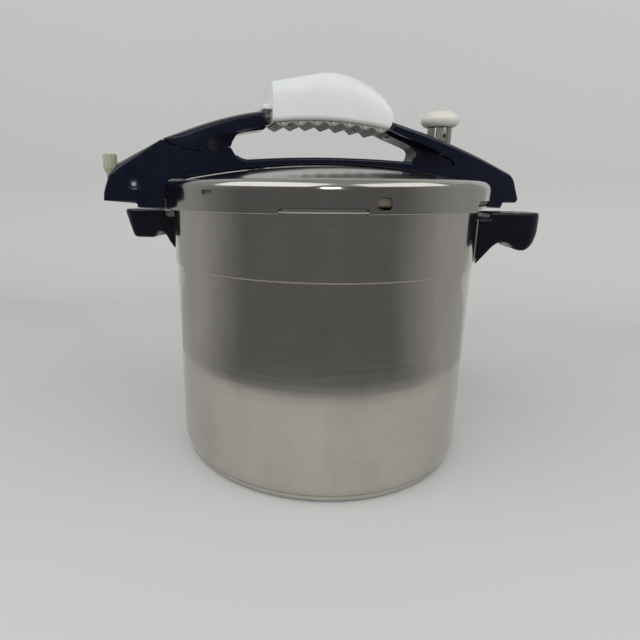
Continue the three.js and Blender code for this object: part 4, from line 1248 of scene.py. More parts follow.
@dataclass
class SideHandle:
    """A moulded side handle on its welded bracket."""

    wardrobe: Wardrobe
    bayonet: Bayonet
    side: Side
    reach: float = 47.0
    half_width: float = 22.0
    taper: float = 4.0
    ledge_depth: float = 5.0
    ledge_length: float = 6.2
    plate: float = 1.5
    gap: float = 0.3
    tongue_length: float = 26.0
    tongue_width: float = 14.0
    tongue_thickness: float = 4.0
    ridge_radius: float = 1.4
    corner: float = 9.0
    edge: float = 2.2
    lock_hole: tuple[float, float, float, float] = (157.7, -12.0, 3.6, 6.0)

    @property
    def top(self) -> float:
        """Height of the handle's flat top."""
        return self.bayonet.skirt_bottom - 2.1

    @property
    def end(self) -> float:
        """Distance of its end from the cooker's axis."""
        return self.bayonet.band_radius + self.reach

    def underside(self) -> tuple[Point, Point]:
        """Where the underside is highest, and where it turns down to the pot."""
        mould = self.side.value
        hollow = (self.end - mould.hollow_back, self.top - mould.hollow)
        fall = (self.bayonet.band_radius + mould.fall_reach, self.top - mould.fall)
        return hollow, fall

    def outline(self) -> list[Point]:
        """The handle from the side, pointing along +X."""
        mould = self.side.value
        wall = self.bayonet.band_radius - 2
        ledge = self.bayonet.band_radius + self.gap + self.plate + self.ledge_length
        nose = self.top - mould.nose
        nose_end = self.end - mould.nose_back - mould.nose_length
        (hollow_x, hollow_z), (fall_x, fall_z) = self.underside()
        half_x, half_z = (nose_end + hollow_x) / 2, (nose + hollow_z) / 2
        drawn = Outline([(wall, self.top - self.ledge_depth)])
        drawn.line((ledge, self.top - self.ledge_depth), (ledge, self.top), (self.end, self.top))
        drawn.line((self.end - mould.lean, self.top - mould.side))
        drawn.curve((self.end - mould.lean - 1.2, nose), (self.end - mould.nose_back, nose))
        drawn.line((nose_end, nose))
        drawn.curve((nose_end + (half_x - nose_end) * 0.7, nose), (half_x, half_z))
        drawn.curve((hollow_x + (half_x - hollow_x) * 0.7, hollow_z), (hollow_x, hollow_z))
        drawn.curve(((hollow_x + fall_x) / 2, hollow_z), (fall_x, fall_z))
        drawn.line((wall, self.top - mould.drop - 2))
        return drawn.points

    def width(self, x: float) -> float:
        """Half of the handle's width at a distance from the axis: narrower outwards."""
        share = (x - self.bayonet.band_radius) / self.reach
        return self.half_width - self.taper * min(1.0, max(0.0, share))

    def ring(self, drawn: Sequence[Point], inward: float, side: int) -> list[Vector]:
        """The outline moved to a distance in from the side, and back at the end's corner.

        Args:
            drawn: The outline, already inset there.
            inward: Distance in from the side face.
            side: Which side, 1 or -1.

        Returns:
            The points of the ring.
        """
        corner = self.corner
        off = max(0.0, corner - inward) / corner
        back = corner * (1 - math.sqrt(1 - min(off, 1.0) ** 2))
        points = []
        for x, z in drawn:
            share = min(1.0, max(0.0, (x - self.end + corner + 5) / (corner + 5)))
            moved = x - back * share
            points.append(Vector((moved, side * (self.width(moved) - inward), z)))
        return points

    def body(self) -> bpy.types.Object:
        """The moulded handle with the rooms for its bracket and screw."""
        mould = self.side.value
        inner = self.bayonet.band_radius + self.gap
        bottom = self.top - mould.drop
        outline = soften(self.outline(), 2.2)
        plans = []
        for i in range(6):
            angle = math.radians(90 * (1 - i / 5))
            drawn = inset(outline, self.edge * (1 - math.cos(angle)), lambda corner: 1.0)
            plans.append((drawn, self.edge * (1 - math.sin(angle))))
        plans += [(outline, self.edge + (self.corner - self.edge) * i / 5) for i in range(1, 6)]
        rings = [self.ring(drawn, inward, -1) for drawn, inward in plans]
        rings += [self.ring(drawn, inward, 1) for drawn, inward in reversed(plans)]
        piece = lofted(f"handle_{mould.name}", rings)
        cut(piece, post("wall_room", inner + self.plate + self.gap, 0, 260, sides=240))
        clean(piece, 0.02)
        tongue_top = self.top - self.ledge_depth - 3
        tongue_bottom = tongue_top - self.tongue_thickness
        tongue_end = inner + self.plate + self.tongue_length
        half = self.tongue_width / 2 + self.gap
        socket = block(
            "socket",
            (self.bayonet.band_radius, -half, tongue_bottom - self.gap),
            (tongue_end + self.gap, half, tongue_top + self.gap),
        )
        screw_x = tongue_end - 7
        cut(
            piece,
            socket,
            post("screw_recess", 4.1, bottom - 20, tongue_bottom - 2.2, screw_x, 0, 32),
            post("screw_bore", 2.3, bottom, tongue_top + 5.3, screw_x, 0, 24),
        )
        if self.side is Side.LEFT:
            x, y, radius, depth = self.lock_hole
            cut(piece, post("lock_hole", radius, self.top - depth, self.top + 2, x, y, 32))
        smooth(piece, 35)
        return swing(piece, mould.turn)

    def ridges(self) -> bpy.types.Object:
        """The finger ridges that follow the underside."""
        mould = self.side.value
        (hollow_x, hollow_z), (fall_x, fall_z) = self.underside()
        half = self.half_width - self.taper - 2
        first = None
        for share in (0.0, 0.5, 1.0):
            x = hollow_x + (fall_x - hollow_x) * share
            z = hollow_z + (fall_z - hollow_z) * share**2
            ridge = post("ridge", self.ridge_radius, -half, half, sides=24)
            round_edges(ridge, 0.9, 3)
            ridge.rotation_euler.x = math.pi / 2
            ridge.location = Vector((x, 0, z + self.gap)) * MM
            settle(ridge)
            first = ridge if first is None else combine(first, ridge, "UNION")
        first.name = f"finger_ridges_{mould.name}"
        smooth(first, 40, False)
        return swing(first, mould.turn)

    def build(self, frame: dict[str, Any]) -> None:
        """Makes the handle, its finger ridges and dresses its steel parts.
        """
        name = self.side.value.name
        self.wardrobe.fit(self.body(), Finishes.BLACK_NAVY, "pot", f"side_handle_{name}")
        self.wardrobe.fit(self.ridges(), Finishes.BLACK_NAVY, "pot")
        self.wardrobe.keep(frame, Finishes.PLATE_STEEL, f"handle_bracket_{name}")
        self.wardrobe.keep(frame, Finishes.SMALL_STEEL, f"side_handle_screw_{name}")


# ---------------------------------------------------------------- lid


@dataclass
class Lid:
    """The domed bayonet lid, its gasket and the seats of its fittings."""

    wardrobe: Wardrobe
    bayonet: Bayonet
    thickness: float = 1.3
    shoulder: float = 7.0
    ring_width: float = 8.0
    dome_rise: float = 11.4
    gasket_height: float = 15.0
    gasket_wall: float = 3.0
    gasket_lip: float = 9.0
    window: tuple[float, float, float] = (9.3, 7.4, 2.7)
    window_angles: tuple[float, ...] = (-91.5, 88.5)
    slit: tuple[float, float, float] = (9.6, 2.8, 11.0)
    slit_angle: float = -142.4
    vent_offset: float = 102.5
    vent_bore: float = 4.3
    vent_flange: float = 8.5
    float_place: Point = (-45.02, 61.97)
    float_bore: float = 3.9
    float_radius: float = 8.0
    hidden_end: float = 176.0

    @property
    def ring_top(self) -> float:
        """Top of the flat ring between shoulder and dome."""
        return self.bayonet.pot_height + 0.6 + self.gasket_height + self.thickness

    @property
    def dome_edge(self) -> float:
        """Radius where the dome begins."""
        return self.bayonet.lid_radius - self.shoulder - self.ring_width

    @property
    def dome_top(self) -> float:
        """Height of the dome's crown."""
        return self.ring_top + self.dome_rise

    def height(self, radius: float) -> float:
        """Height of the dome's outer face at a distance from its axis."""
        r = (self.dome_edge**2 + self.dome_rise**2) / (2 * self.dome_rise)
        return self.dome_top - r + math.sqrt(r**2 - radius**2)

    def seat(self, x: float, y: float, radius: float) -> Point:
        """Lower and upper face of a welded pad under a fitting."""
        away = math.hypot(x, y)
        return self.height(away + radius) - self.thickness, self.height(away - radius)

    def dome(self, start: float, end: float, drop: float, steps: int = 16) -> list[Point]:
        """Points of the dome between two radii, lowered by a wall."""
        radii = [start + (end - start) * i / steps for i in range(steps + 1)]
        return [(r, self.height(r) - drop) for r in radii]

    def shell(self) -> bpy.types.Object:
        """Turns the lid, cuts its bayonet gaps, windows and bores."""
        b = self.bayonet
        bottom = b.skirt_bottom
        centre = b.lid_radius - self.shoulder
        inside = self.shoulder - b.skirt_thickness
        profile = [
            (b.claw_radius, bottom),
            (b.lid_radius - 0.35, bottom),
            (b.lid_radius, bottom + 0.35),
            *quarter(centre, self.ring_top - self.shoulder, self.shoulder, 0, 90, 14),
            (self.dome_edge + 1.5, self.ring_top + 0.02),
            (self.dome_edge + 0.4, self.ring_top + 0.1),
            *self.dome(self.dome_edge - 1.2, 0, 0),
            *self.dome(0, self.dome_edge, self.thickness),
            *quarter(centre, self.ring_top - self.thickness - inside, inside, 90, 0, 12),
            (b.skirt_inner, bottom + 1),
            (b.claw_radius, bottom + 1),
        ]
        piece = turned("lid_dome", profile, 360)
        for middle, width, rise in zip(b.gap_centres, b.gap_widths, b.gap_rises):
            start, end = middle - width / 2, middle + width / 2
            heights = bottom - 2, bottom + 1.5
            cut(piece, sector("claw_gap", b.claw_radius - 2, b.skirt_inner, start, end, *heights))
            end = min(end, self.hidden_end) if middle > 90 and width > 60 else end
            sides = start + 0.6, end - 0.6
            heights = bottom - 4, bottom + rise
            notch = sector("edge_gap", b.skirt_inner - 2, b.lid_radius + 2, *sides, *heights)
            for side in sides:
                self.round_corner(notch, side, b.lid_radius, bottom + rise)
            cut(piece, notch)
        for angle in self.window_angles:
            cut(piece, self.slot(self.window, 2.4, angle))
        cut(piece, self.slot(self.slit, 0.9, self.slit_angle))
        low, high = self.seat(self.vent_offset, 0, self.vent_flange)
        combine(piece, post("vent_pad", self.vent_flange + 1, low, high, self.vent_offset, sides=64), "UNION")
        cut(piece, post("vent_bore", self.vent_bore, low - 2, high + 2, self.vent_offset, sides=48))
        x, y = self.float_place
        low, high = self.seat(x, y, self.float_radius)
        combine(piece, post("float_pad", self.float_radius + 1, low, high, x, y, 64), "UNION")
        cut(piece, post("float_bore", self.float_bore, low - 2, high + 2, x, y, 48))
        clean(piece, 0.005)
        smooth(piece, 30)
        return swing(piece, b.turn)

    def round_corner(self, notch: bpy.types.Object, side: float, radius: float, height: float) -> None:
        """Rounds an upper corner of a gap's cutter.

        Args:
            notch: The cutter.
            side: The corner's angle about the axis.
            radius: Radius of the skirt there.
            height: The corner's height.
        """
        tall = height - self.bayonet.skirt_bottom

        def at_corner(point: Vector) -> bool:
            """Whether an edge is the corner that runs through the skirt."""
            off = (math.degrees(math.atan2(point.y, point.x)) - side + 180) % 360 - 180
            return abs(point.z - height) < 0.01 and abs(off) < 0.05 and abs(point.xy.length - radius) < 4.2

        pick(notch, at_corner, "EDGE")
        bpy.ops.mesh.bevel(offset=min(tall * 0.6, 3) * MM, segments=5, affect="EDGES")
        bpy.ops.object.mode_set(mode="OBJECT")

    def slot(self, size: tuple[float, float, float], corner: float, angle: float) -> bpy.types.Object:
        """Cutter for a slot through the skirt with rounded corners.

        Args:
            size: Its width, height and rise above the skirt's lower edge.
            corner: Radius of its corners.
            angle: Its place about the lid's axis.

        Returns:
            The cutter.
        """
        width, height, rise = size
        low = self.bayonet.skirt_bottom + rise
        opening = block("slot", (-width / 2, -3, low), (width / 2, 3, low + height))
        middle = low + height / 2
        pick(opening, lambda p: abs(p.x) > width / 4 and abs(p.z - middle) > height / 4, "EDGE")
        bpy.ops.mesh.bevel(offset=corner * MM, segments=6, affect="EDGES")
        bpy.ops.object.mode_set(mode="OBJECT")
        shift(opening, 0, -self.bayonet.lid_radius)
        return swing(opening, angle + 90)

    def gasket(self) -> bpy.types.Object:
        """Turns the C-shaped ring."""
        outer = self.bayonet.skirt_inner - 0.6
        inner = outer - self.gasket_lip
        low = self.bayonet.pot_height + 0.3
        top = low + self.gasket_height
        web = outer - self.gasket_wall
        curve = self.shoulder * 0.8
        profile = [
            (inner, low),
            (outer - 1, low),
            (outer, low + 1),
            (outer, top - curve),
            (outer - curve * 0.28, top - curve * 0.36),
            (outer - curve, top),
            (inner, top),
            (inner, top - self.gasket_wall),
            (web, top - self.gasket_wall * 1.6),
            (web, low + self.gasket_wall * 1.6),
            (inner, low + self.gasket_wall),
        ]
        piece = turned("gasket", profile, 180)
        round_edges(piece, 0.5, 2, 40)
        smooth(piece, 35)
        return piece

    def build(self, frame: dict[str, Any]) -> None:
        """Makes and dresses the lid and gasket.
        """
        self.wardrobe.fit(self.shell(), Finishes.LID_STEEL, "lid", "lid_shell")
        # The gasket's dark grey brown is painted shade.
        self.wardrobe.fit(self.gasket(), Finishes.SILICONE_PAINTED_SHADE, "seal", "sealing_ring")
        self.wardrobe.keep(frame, Finishes.PLATE_STEEL, "lid_bracket_left", "lid_bracket_right")
        self.wardrobe.keep(frame, Finishes.SMALL_STEEL, "vent_nut", "vent_strainer", "float_nut")


# ---------------------------------------------------------------- arched handle


@dataclass
class Arch:
    """The arched handle's body and its cover, in the lid's own frame before the turn."""

    wardrobe: Wardrobe
    lid: Lid
    half_width: float = 20.0
    edge: float = 3.0
    foot_gap: float = 2.7
    foot_length: float = 41.8
    foot_rise: float = 4.0
    lug_drop: float = 4.7
    left_lug: float = 16.5
    right_lug: float = 26.5
    bridge_gap: float = 0.6
    shoulder_gap: float = 0.8
    bridge_thickness: float = 6.2
    arm_span: float = 50.5
    arm_top_rise: float = 35.4
    arm_depth: float = 9.6
    nose_depth: float = 14.5
    opening_left: float = 76.0
    opening_right: float = 78.0
    recess_depth: float = 10.5
    dimple_radius: float = 26.0
    dimple_depth: float = 1.4
    well_radius: float = 12.7
    tab_top: float = 12.0
    knob_inset: float = 5.6
    knob_back: float = 12.0
    knob_well: float = 5.9
    knob_floor: float = 7.0
    knob_slot: float = 13.9
    pin_inset: float = 10.5
    pin_hole: float = 3.6
    gap: float = 0.3

    @property
    def inner(self) -> float:
        """Where a foot begins, just outside the skirt."""
        return self.lid.bayonet.lid_radius + self.foot_gap

    @property
    def reach(self) -> float:
        """Half of the handle's length."""
        return self.inner + self.foot_length

    @property
    def foot(self) -> float:
        """Underside of the feet."""
        return self.lid.bayonet.skirt_bottom + self.foot_rise

    @property
    def arm_top(self) -> float:
        """Top of both arms where the grip begins."""
        return self.lid.dome_top + self.arm_top_rise

    @property
    def arm_bottom(self) -> float:
        """Underside of the right arm at the grip."""
        return self.arm_top - self.arm_depth

    @property
    def nose_bottom(self) -> float:
        """Underside of the cover's nose."""
        return self.arm_top - self.nose_depth

    @property
    def bridge_top(self) -> float:
        """Top of the bridge over the dome."""
        return self.lid.dome_top + self.bridge_thickness

    @property
    def left_shoulder(self) -> Point:
        """Upper outer corner of the left foot."""
        return -(self.reach - 11.6), self.foot + 27.4

    @property
    def right_shoulder(self) -> Point:
        """Upper outer corner of the right foot."""
        return self.reach - 7.5, self.foot + 23.0

    def seam(self, lift: float) -> list[Point]:
        """The line that the cover lies on, from its lip on top to the hand opening."""
        lip_x, lip_z = -(self.inner - 3), self.left_shoulder[1] + 17.6
        low_x, low_z = lip_x + 26.7, lip_z - 7.2
        steps = [
            (lip_x, lip_z),
            (lip_x + 8, lip_z - 3.8),
            (low_x - 9, low_z + 0.4),
            (low_x, low_z - 0.6),
            (low_x + 10, low_z + 2.2),
            (-(self.opening_left + 1.5), lip_z - 3.7),
        ]
        return [(x, z + lift) for x, z in steps]

    def bridge(self, x: float) -> float:
        """Underside of the bridge at a distance along the handle."""
        return self.lid.height(abs(x)) + self.bridge_gap

    def body_outline(self) -> list[Point]:
        """The handle from the front: feet, bridge, arms and hand opening."""
        edge = self.lid.dome_edge
        corner = self.lid.ring_top - self.lid.shoulder
        lug_z = self.foot - self.lug_drop
        drawn = Outline([(-self.reach + 1.8, self.foot)])
        drawn.line(
            (-self.inner - self.left_lug, self.foot),
            (-self.inner - self.left_lug, lug_z),
            (-self.inner + 6, lug_z),
            (-self.inner + 6, corner),
        )
        steps = 28
        xs = [-edge + 2 * edge * i / steps for i in range(steps + 1)]
        drawn.line(*[(x, self.bridge(x)) for x in xs])
        drawn.line(
            (self.inner - 6, corner),
            (self.inner - 6, lug_z),
            (self.inner + self.right_lug, lug_z),
            (self.inner + self.right_lug, self.foot),
            (self.reach - 1, self.foot),
            (self.reach, self.foot + 3.5),
        )
        rx, rz = self.right_shoulder
        drawn.line((rx + 3, rz - 9)).curve((rx + 0.9, rz - 2.6), (rx - 3, rz + 2.2), 6)
        half_way = (self.arm_span + rx) / 2 + 4.5, (self.arm_top + rz) / 2 + 5.5
        drawn.curve(half_way, (self.arm_span, self.arm_top), 22)
        drawn.line((self.arm_span - 3.5, self.arm_bottom + 0.8))
        mouth = self.opening_right
        drawn.curve((self.arm_span + 16, self.arm_bottom - 6), (mouth - 3, self.arm_bottom - 10), 14)
        drawn.curve((mouth + 2.5, self.bridge_top + 5.5), (mouth - 4.5, self.bridge_top - 2.2), 12)
        drawn.curve((0, self.bridge_top + 2.8), (-self.opening_left + 10, self.bridge_top - 2.2), 30)
        end_z = self.seam(0)[-1][1]
        drawn.curve((-self.opening_left + 3, self.bridge_top - 1.4), (-self.opening_left + 0.8, end_z - 4), 8)
        drawn.line(*reversed(self.seam(0)))
        lx, lz = self.left_shoulder
        drawn.line((lx + 2.2, lz + 1.2)).curve((lx, lz), (lx - 1.3, lz - 2.2), 5)
        drawn.curve((-self.reach + 5.6, lz - 8.8), (-self.reach + 2.4, self.foot + 7), 10)
        return drawn.points

    def cover_outline(self) -> list[Point]:
        """The cover from the front: lip, seam, nose and crown."""
        drawn = Outline(self.seam(self.gap))
        start_x, start_z = drawn.points[0]
        end_z = self.seam(0)[-1][1]
        left = -self.opening_left
        drawn.line((left - 0.2, end_z + 4), (left + 3, end_z + 9))
        drawn.curve((left + 6, self.nose_bottom + 3), (-self.arm_span - 8, self.nose_bottom + 4.5), 10)
        drawn.line(
            (-self.arm_span - 1, self.nose_bottom + 5.6),
            (-self.arm_span + 2.5, self.nose_bottom + 9),
            (-self.arm_span - 2.5, self.arm_top + 4),
        )
        drawn.curve((-self.arm_span - 36, self.arm_top - 0.5), (start_x, start_z), 20)
        return drawn.points[:-1]

    def recess_outlines(self) -> tuple[list[Point], list[Point]]:
        """The hollows in the right and left arm, from the front."""
        span, top = self.arm_span, self.arm_top
        mouth = self.opening_right - 9
        right = Outline([(span - 8, top - 4.5), (span + 8, top - 11), (span + 33, top - 19.3)])
        right.line((span + 46, top - 24.4)).curve((span + 62, top - 31.5), (span + 55, top - 35.4), 14)
        right.curve((span + 43, top - 37), (mouth, self.bridge_top - 4.2), 10)
        right.line((mouth, self.bridge_top + 4), (span - 8, self.arm_bottom - 4))
        end_z = self.seam(0)[-1][1]
        mouth = -self.opening_left
        left = Outline([(-span + 6, top - 5.4), (-span + 6, self.nose_bottom - 4), (mouth + 4, end_z + 4)])
        left.line((mouth + 4, self.bridge_top + 0.4), (mouth - 10, self.bridge_top + 0.6))
        left.curve((mouth - 25, end_z - 1), (mouth - 19, end_z + 5), 10)
        return right.points, left.points

    def run_out(self, mouth: float, flat: float, end: float) -> bpy.types.Object:
        """Room above a hollow's floor, which runs out to the arm's far face.

        Args:
            mouth: Where the hollow opens to the hand gap.
            flat: Where its floor leaves the web.
            end: Where the floor meets the face.

        Returns:
            The solid, on the far side.
        """
        web, face = self.half_width - self.recess_depth, self.half_width
        drawn = Outline([(mouth, web), (flat, web)])
        drawn.curve(((flat + end) / 2, web + 0.5), (end, face + 0.5), 20)
        drawn.line((end, face + 2), (mouth, face + 2))
        return raised("run_out", drawn.points, self.bridge_top - 10, self.arm_top)

    def recesses(self) -> list[bpy.types.Object]:
        """Cutters for the hollows in both faces of both arms."""
        plans = [
            (self.arm_span - 10, self.opening_right + 7, self.opening_right + 34),
            (-self.arm_span + 10, -self.opening_left - 8, -self.opening_left - 25),
        ]
        cutters = []
        for outline, plan in zip(self.recess_outlines(), plans):
            for side in (-1, 1):
                cutter = slab("recess", outline, self.half_width + 2)
                room = self.run_out(*plan)
                room.scale.y = side
                settle(room)
                focus(room)
                bpy.ops.object.mode_set(mode="EDIT")
                close_skin()
                cutters.append(combine(cutter, room, "INTERSECT"))
        return cutters

    def lid_room(self) -> bpy.types.Object:
        """Cutter for the skirt, the welded leaf and the shoulder under the handle."""
        radius = self.lid.shoulder + self.shoulder_gap
        middle = self.lid.ring_top - self.lid.shoulder
        leaf = self.foot + self.tab_top + self.gap
        start = math.degrees(math.asin((leaf - middle) / radius))
        near = self.lid.bayonet.lid_radius + self.shoulder_gap
        profile = [(0, 150), (near, 150), (near, leaf)]
        profile += quarter(near - radius, middle, radius, start, 90, 12)
        profile.append((0, self.lid.ring_top + self.shoulder_gap))
        room = turned("lid_room", profile, 360)
        for middle in (0, 180):
            pocket = sector("leaf_room", near - 2, self.inner, middle - 6.5, middle + 6.5, 150, leaf)
            combine(room, pocket, "UNION")
        return room

    def lock_room(self) -> list[bpy.types.Object]:
        """Cutters for the lock knob, the arm under it and its pin."""
        x = -(self.reach - self.knob_inset)
        y = self.knob_back
        floor = self.foot + self.knob_floor
        roof = floor + self.knob_slot
        inner = x + self.pin_inset
        return [
            post("knob_well", self.knob_well, floor, self.arm_top, x, y, 72),
            block("arm_slot", (x, y - self.pin_hole, floor), (inner, y + self.pin_hole, roof)),
            post("pin_bore", self.pin_hole, self.foot - 2, roof, inner, y, 32),
        ]

    def core_height(self, x: float) -> float:
        """Centre line of the steel strap in the grip."""
        return self.lid.dome_top + 36.5 - 0.03 * x - 0.00189 * x * x

    def strap(self, grow: float) -> bpy.types.Object:
        """The room that the steel strap takes, grown by a clearance."""
        left, right, half = -61.5 - grow, 59.5 + grow, 2.25 + grow
        xs = [left + (right - left) * i / 20 for i in range(21)]
        outline = [(x, self.core_height(x) - half) for x in xs]
        outline += [(x, self.core_height(x) + half) for x in reversed(xs)]
        return slab("strap_room", outline, 8 + grow)

    def seam_share(self, corner: Vector) -> tuple[float, float]:
        """Nearly sharp along the seam, less round on the thin bridge, crowned along the back.

        Args:
            corner: A corner of either outline.

        Returns:
            Its share of the rounding and of the crown.
        """
        line = [Vector(p) for p in self.seam(0)]
        away = 99.0
        for start, end in zip(line, line[1:]):
            foot, along = geometry.intersect_point_line(corner, start, end)
            foot = foot if 0 <= along <= 1 else (start if along < 0 else end)
            away = min(away, (corner - foot).length)
        thin = min(1.0, max(0.8, 0.8 + (corner.y - self.bridge_top - 1) / 20))
        far = (abs(corner.x) - self.arm_span) / (self.reach - self.arm_span)
        above = corner.y - (self.arm_top - 4 + (self.foot + 18 - self.arm_top + 4) * far)
        back = min(1.0, max(0.0, above / 5)) * min(1.0, away / 13) if far > -0.03 else 0.0
        return min(thin, 0.12 + away / 12) * (1 - 0.6 * back), back

    def body(self) -> bpy.types.Object:
        """Makes the handle's body."""
        outline = soften(self.body_outline(), 1.8)
        piece = soft_slab("arch", outline, self.half_width, self.edge, self.seam_share)
        cut(piece, self.lid_room(), *self.recesses())
        well = post("weight_well", self.well_radius, 210, self.arm_top + 10, self.lid.vent_offset, sides=64)
        cut(piece, well)
        clean(piece, 0.02)
        round_edges(piece, 0.6, 2, 42)
        cut(piece, *self.lock_room(), self.dimple(), self.strap(self.gap))
        clean(piece, 0.001)
        smooth(piece, 34)
        return swing(piece, self.lid.bayonet.turn)

    def dimple(self) -> bpy.types.Object:
        """The shallow round dip on the left foot's face."""
        depth = self.half_width + self.dimple_radius - self.dimple_depth
        centre = (-(self.inner + 18), -depth, self.foot + 18)
        return ball("dimple", self.dimple_radius, centre, 96, 64)

    def cover(self) -> bpy.types.Object:
        """Makes the cover that lies on the left arm."""
        outline = soften(self.cover_outline(), 1.4)
        piece = soft_slab("arch_top", outline, self.half_width, self.edge, self.seam_share)
        cut(piece, *self.recesses())
        clean(piece, 0.02)
        round_edges(piece, 0.6, 2, 42)
        cut(piece, self.strap(self.gap))
        smooth(piece, 34)
        return swing(piece, self.lid.bayonet.turn)

    def build(self, frame: dict[str, Any]) -> None:
        """Makes and dresses the arched handle.
        """
        self.wardrobe.fit(self.body(), Finishes.NAVY, "lid", "arch_body")
        self.wardrobe.fit(self.cover(), Finishes.NAVY, "lid", "arch_cover")
        # The strap's near black is painted shade in the gaps at the grip's ends.
        self.wardrobe.keep(frame, Finishes.BLACK_STEEL_PAINTED_SHADE, "handle_core")
        screws = ["foot_screw_left", "foot_screw_right", "core_screw_left", "core_screw_right"]
        screws += ["cover_screw", "grip_screw_left", "grip_screw_right"]
        self.wardrobe.keep(frame, Finishes.SMALL_STEEL, *screws)


# ---------------------------------------------------------------- grip


@dataclass
class Grip:
    """The white grip with its toothed underside, coloured grey as painted shade."""

    wardrobe: Wardrobe
    arch: Arch
    half_width: float = 21.0
    wall: float = 3.0
    edge: float = 3.5
    skirt: float = 2.3
    left: float = 47.0
    right: float = 50.0
    hump: float = 69.4
    foot: float = 35.6
    collar_length: float = 6.8
    collar_height: float = 3.8
    pitch: float = 13.2
    tooth: float = 2.6
    tip: float = 1.5
    strip_depth: float = 3.4
    strip_half: float = 16.5
    nub: float = 2.1

    def bottom(self, x: float) -> float:
        """Lower line of the grip's shell at a distance along it."""
        return self.arch.lid.dome_top + self.foot - 0.025 * x - 0.0016 * x * x

    def crown(self, x: float) -> float:
        """Crown of the grip, smooth through its few measured heights."""
        top = self.arch.lid.dome_top + self.hump
        knots = [
            (-self.left, top - 9),
            (-self.left * 0.5, top - 4),
            (2, top),
            (self.right * 0.52, top - 4.7),
            (self.right * 0.85, top - 13.6),
            (self.right, top - 22),
        ]
        for i in range(len(knots) - 1):
            if x <= knots[i + 1][0] or i == len(knots) - 2:
                (x1, z1), (x2, z2) = knots[i], knots[i + 1]
                x0, z0 = knots[max(i - 1, 0)]
                x3, z3 = knots[min(i + 2, len(knots) - 1)]
                m1 = (z2 - z0) / (x2 - x0)
                m2 = (z3 - z1) / (x3 - x1)
                t = (x - x1) / (x2 - x1)
                h = x2 - x1
                return (
                    (2 * t**3 - 3 * t**2 + 1) * z1
                    + (t**3 - 2 * t**2 + t) * h * m1
                    + (3 * t**2 - 2 * t**3) * z2
                    + (t**3 - t**2) * h * m2
                )
        return top

    def section(self, x: float, inset: float) -> list[Vector]:
        """Points round the grip at a distance along it, moved in by a wall.

        Args:
            x: Distance along the handle.
            inset: Wall to move in by; an inner section runs out below.

        Returns:
            The points once round.
        """
        share = (x + self.left) / (self.left + self.right)
        half = self.half_width - inset - share
        low = self.bottom(x) - self.skirt - (self.edge + 2 if inset else 0)
        top = self.crown(x) - inset
        squareness = 4.6 - 1.6 * share
        edge = low + self.edge
        points = []
        steps = 36
        for i in range(steps + 1):
            angle = math.pi * i / steps
            side = math.copysign(abs(math.cos(angle)) ** (2 / squareness), math.cos(angle))
            up = abs(math.sin(angle)) ** (2 / squareness)
            points.append(Vector((x, half * side, edge + (top - edge) * up)))
        curl = [
            (half - self.edge * (1 - math.cos(math.radians(a))), edge - self.edge * math.sin(math.radians(a)))
            for a in (18, 36, 54, 72, 90)
        ]
        points += [Vector((x, -y, z)) for y, z in curl]
        points += [Vector((x, y, z)) for y, z in reversed(curl)]
        return points

    def loft(self, name: str, inset: float) -> bpy.types.Object:
        """A closed skin through the sections from the left end to the right.

        Args:
            name: Name of the new object.
            inset: Wall to move in by.

        Returns:
            The solid.
        """
        steps = 48
        left, right = -self.left + inset, self.right - inset
        xs = [left + (right - left) * i / steps for i in range(steps + 1)]
        return lofted(name, [self.section(x, inset) for x in xs])

    def shell(self) -> bpy.types.Object:
        """Hollows the lofted grip and gives it its collar."""
        arch = self.arch
        piece = self.loft("grip", 0)
        round_edges(piece, 1.6, 4, 50)
        low = arch.arm_top + 4 + arch.gap
        collar = block(
            "collar",
            (-self.left - self.collar_length, -arch.half_width + 1.5, low),
            (-self.left + self.wall, arch.half_width - 1.5, low + self.collar_height),
        )
        round_edges(collar, 1.1, 3)
        combine(piece, collar, "UNION")
        cut(piece, self.loft("hollow", self.wall))
        cut(piece, arch.strap(arch.gap), self.arm_room())
        clean(piece, 0.01)
        smooth(piece, 40)
        return swing(piece, arch.lid.bayonet.turn)

    def arm_room(self) -> bpy.types.Object:
        """Cutter for the end of the right arm, which the grip runs against."""
        a, g = self.arch, self.arch.gap
        outline = [
            (a.arm_span - 3.5 - g, a.arm_bottom),
            (a.arm_span - 3.8 - g, a.arm_bottom - 8),
            (a.arm_span + 20, a.arm_bottom - 8),
            (a.arm_span + 20, a.arm_top + g),
            (a.arm_span - g, a.arm_top + g),
        ]
        return slab("arm_room", outline, self.half_width + 2)

    def strip(self) -> bpy.types.Object:
        """The toothed underside with a round nub at both ends of each tooth."""
        left = -self.left + self.wall + 0.3
        right = self.right - self.wall - 0.3
        drawn = Outline([])
        drawn.line(*[(x, self.bottom(x) - 0.3) for x in (right + (left - right) * i / 12 for i in range(13))])
        root = self.pitch / 2 - 1.2
        teeth = math.floor((right - left + 2.4) / self.pitch)
        first = (left + right - (teeth - 1) * self.pitch) / 2
        tips = [first + i * self.pitch for i in range(teeth)]
        drawn.line((left, self.bottom(left) - self.strip_depth))
        for x in tips:
            drawn.line(
                (x - root, self.bottom(x - root) - self.strip_depth),
                (x - self.tip, self.bottom(x) - self.strip_depth - self.tooth),
                (x + self.tip, self.bottom(x) - self.strip_depth - self.tooth),
                (x + root, self.bottom(x + root) - self.strip_depth),
            )
        drawn.line((right, self.bottom(right) - self.strip_depth))
        piece = slab("grip_teeth", drawn.points, self.strip_half)
        round_edges(piece, 0.45, 2, 25)
        for x in tips:
            for side in (-1, 1):
                centre = (x, side * self.strip_half, self.bottom(x) - self.strip_depth - 0.9)
                combine(piece, ball("nub", self.nub, centre, 24, 14), "UNION")
        cut(piece, self.arch.strap(self.arch.gap), self.arm_room())
        clean(piece, 0.01)
        smooth(piece, 40)
        return swing(piece, self.arch.lid.bayonet.turn)

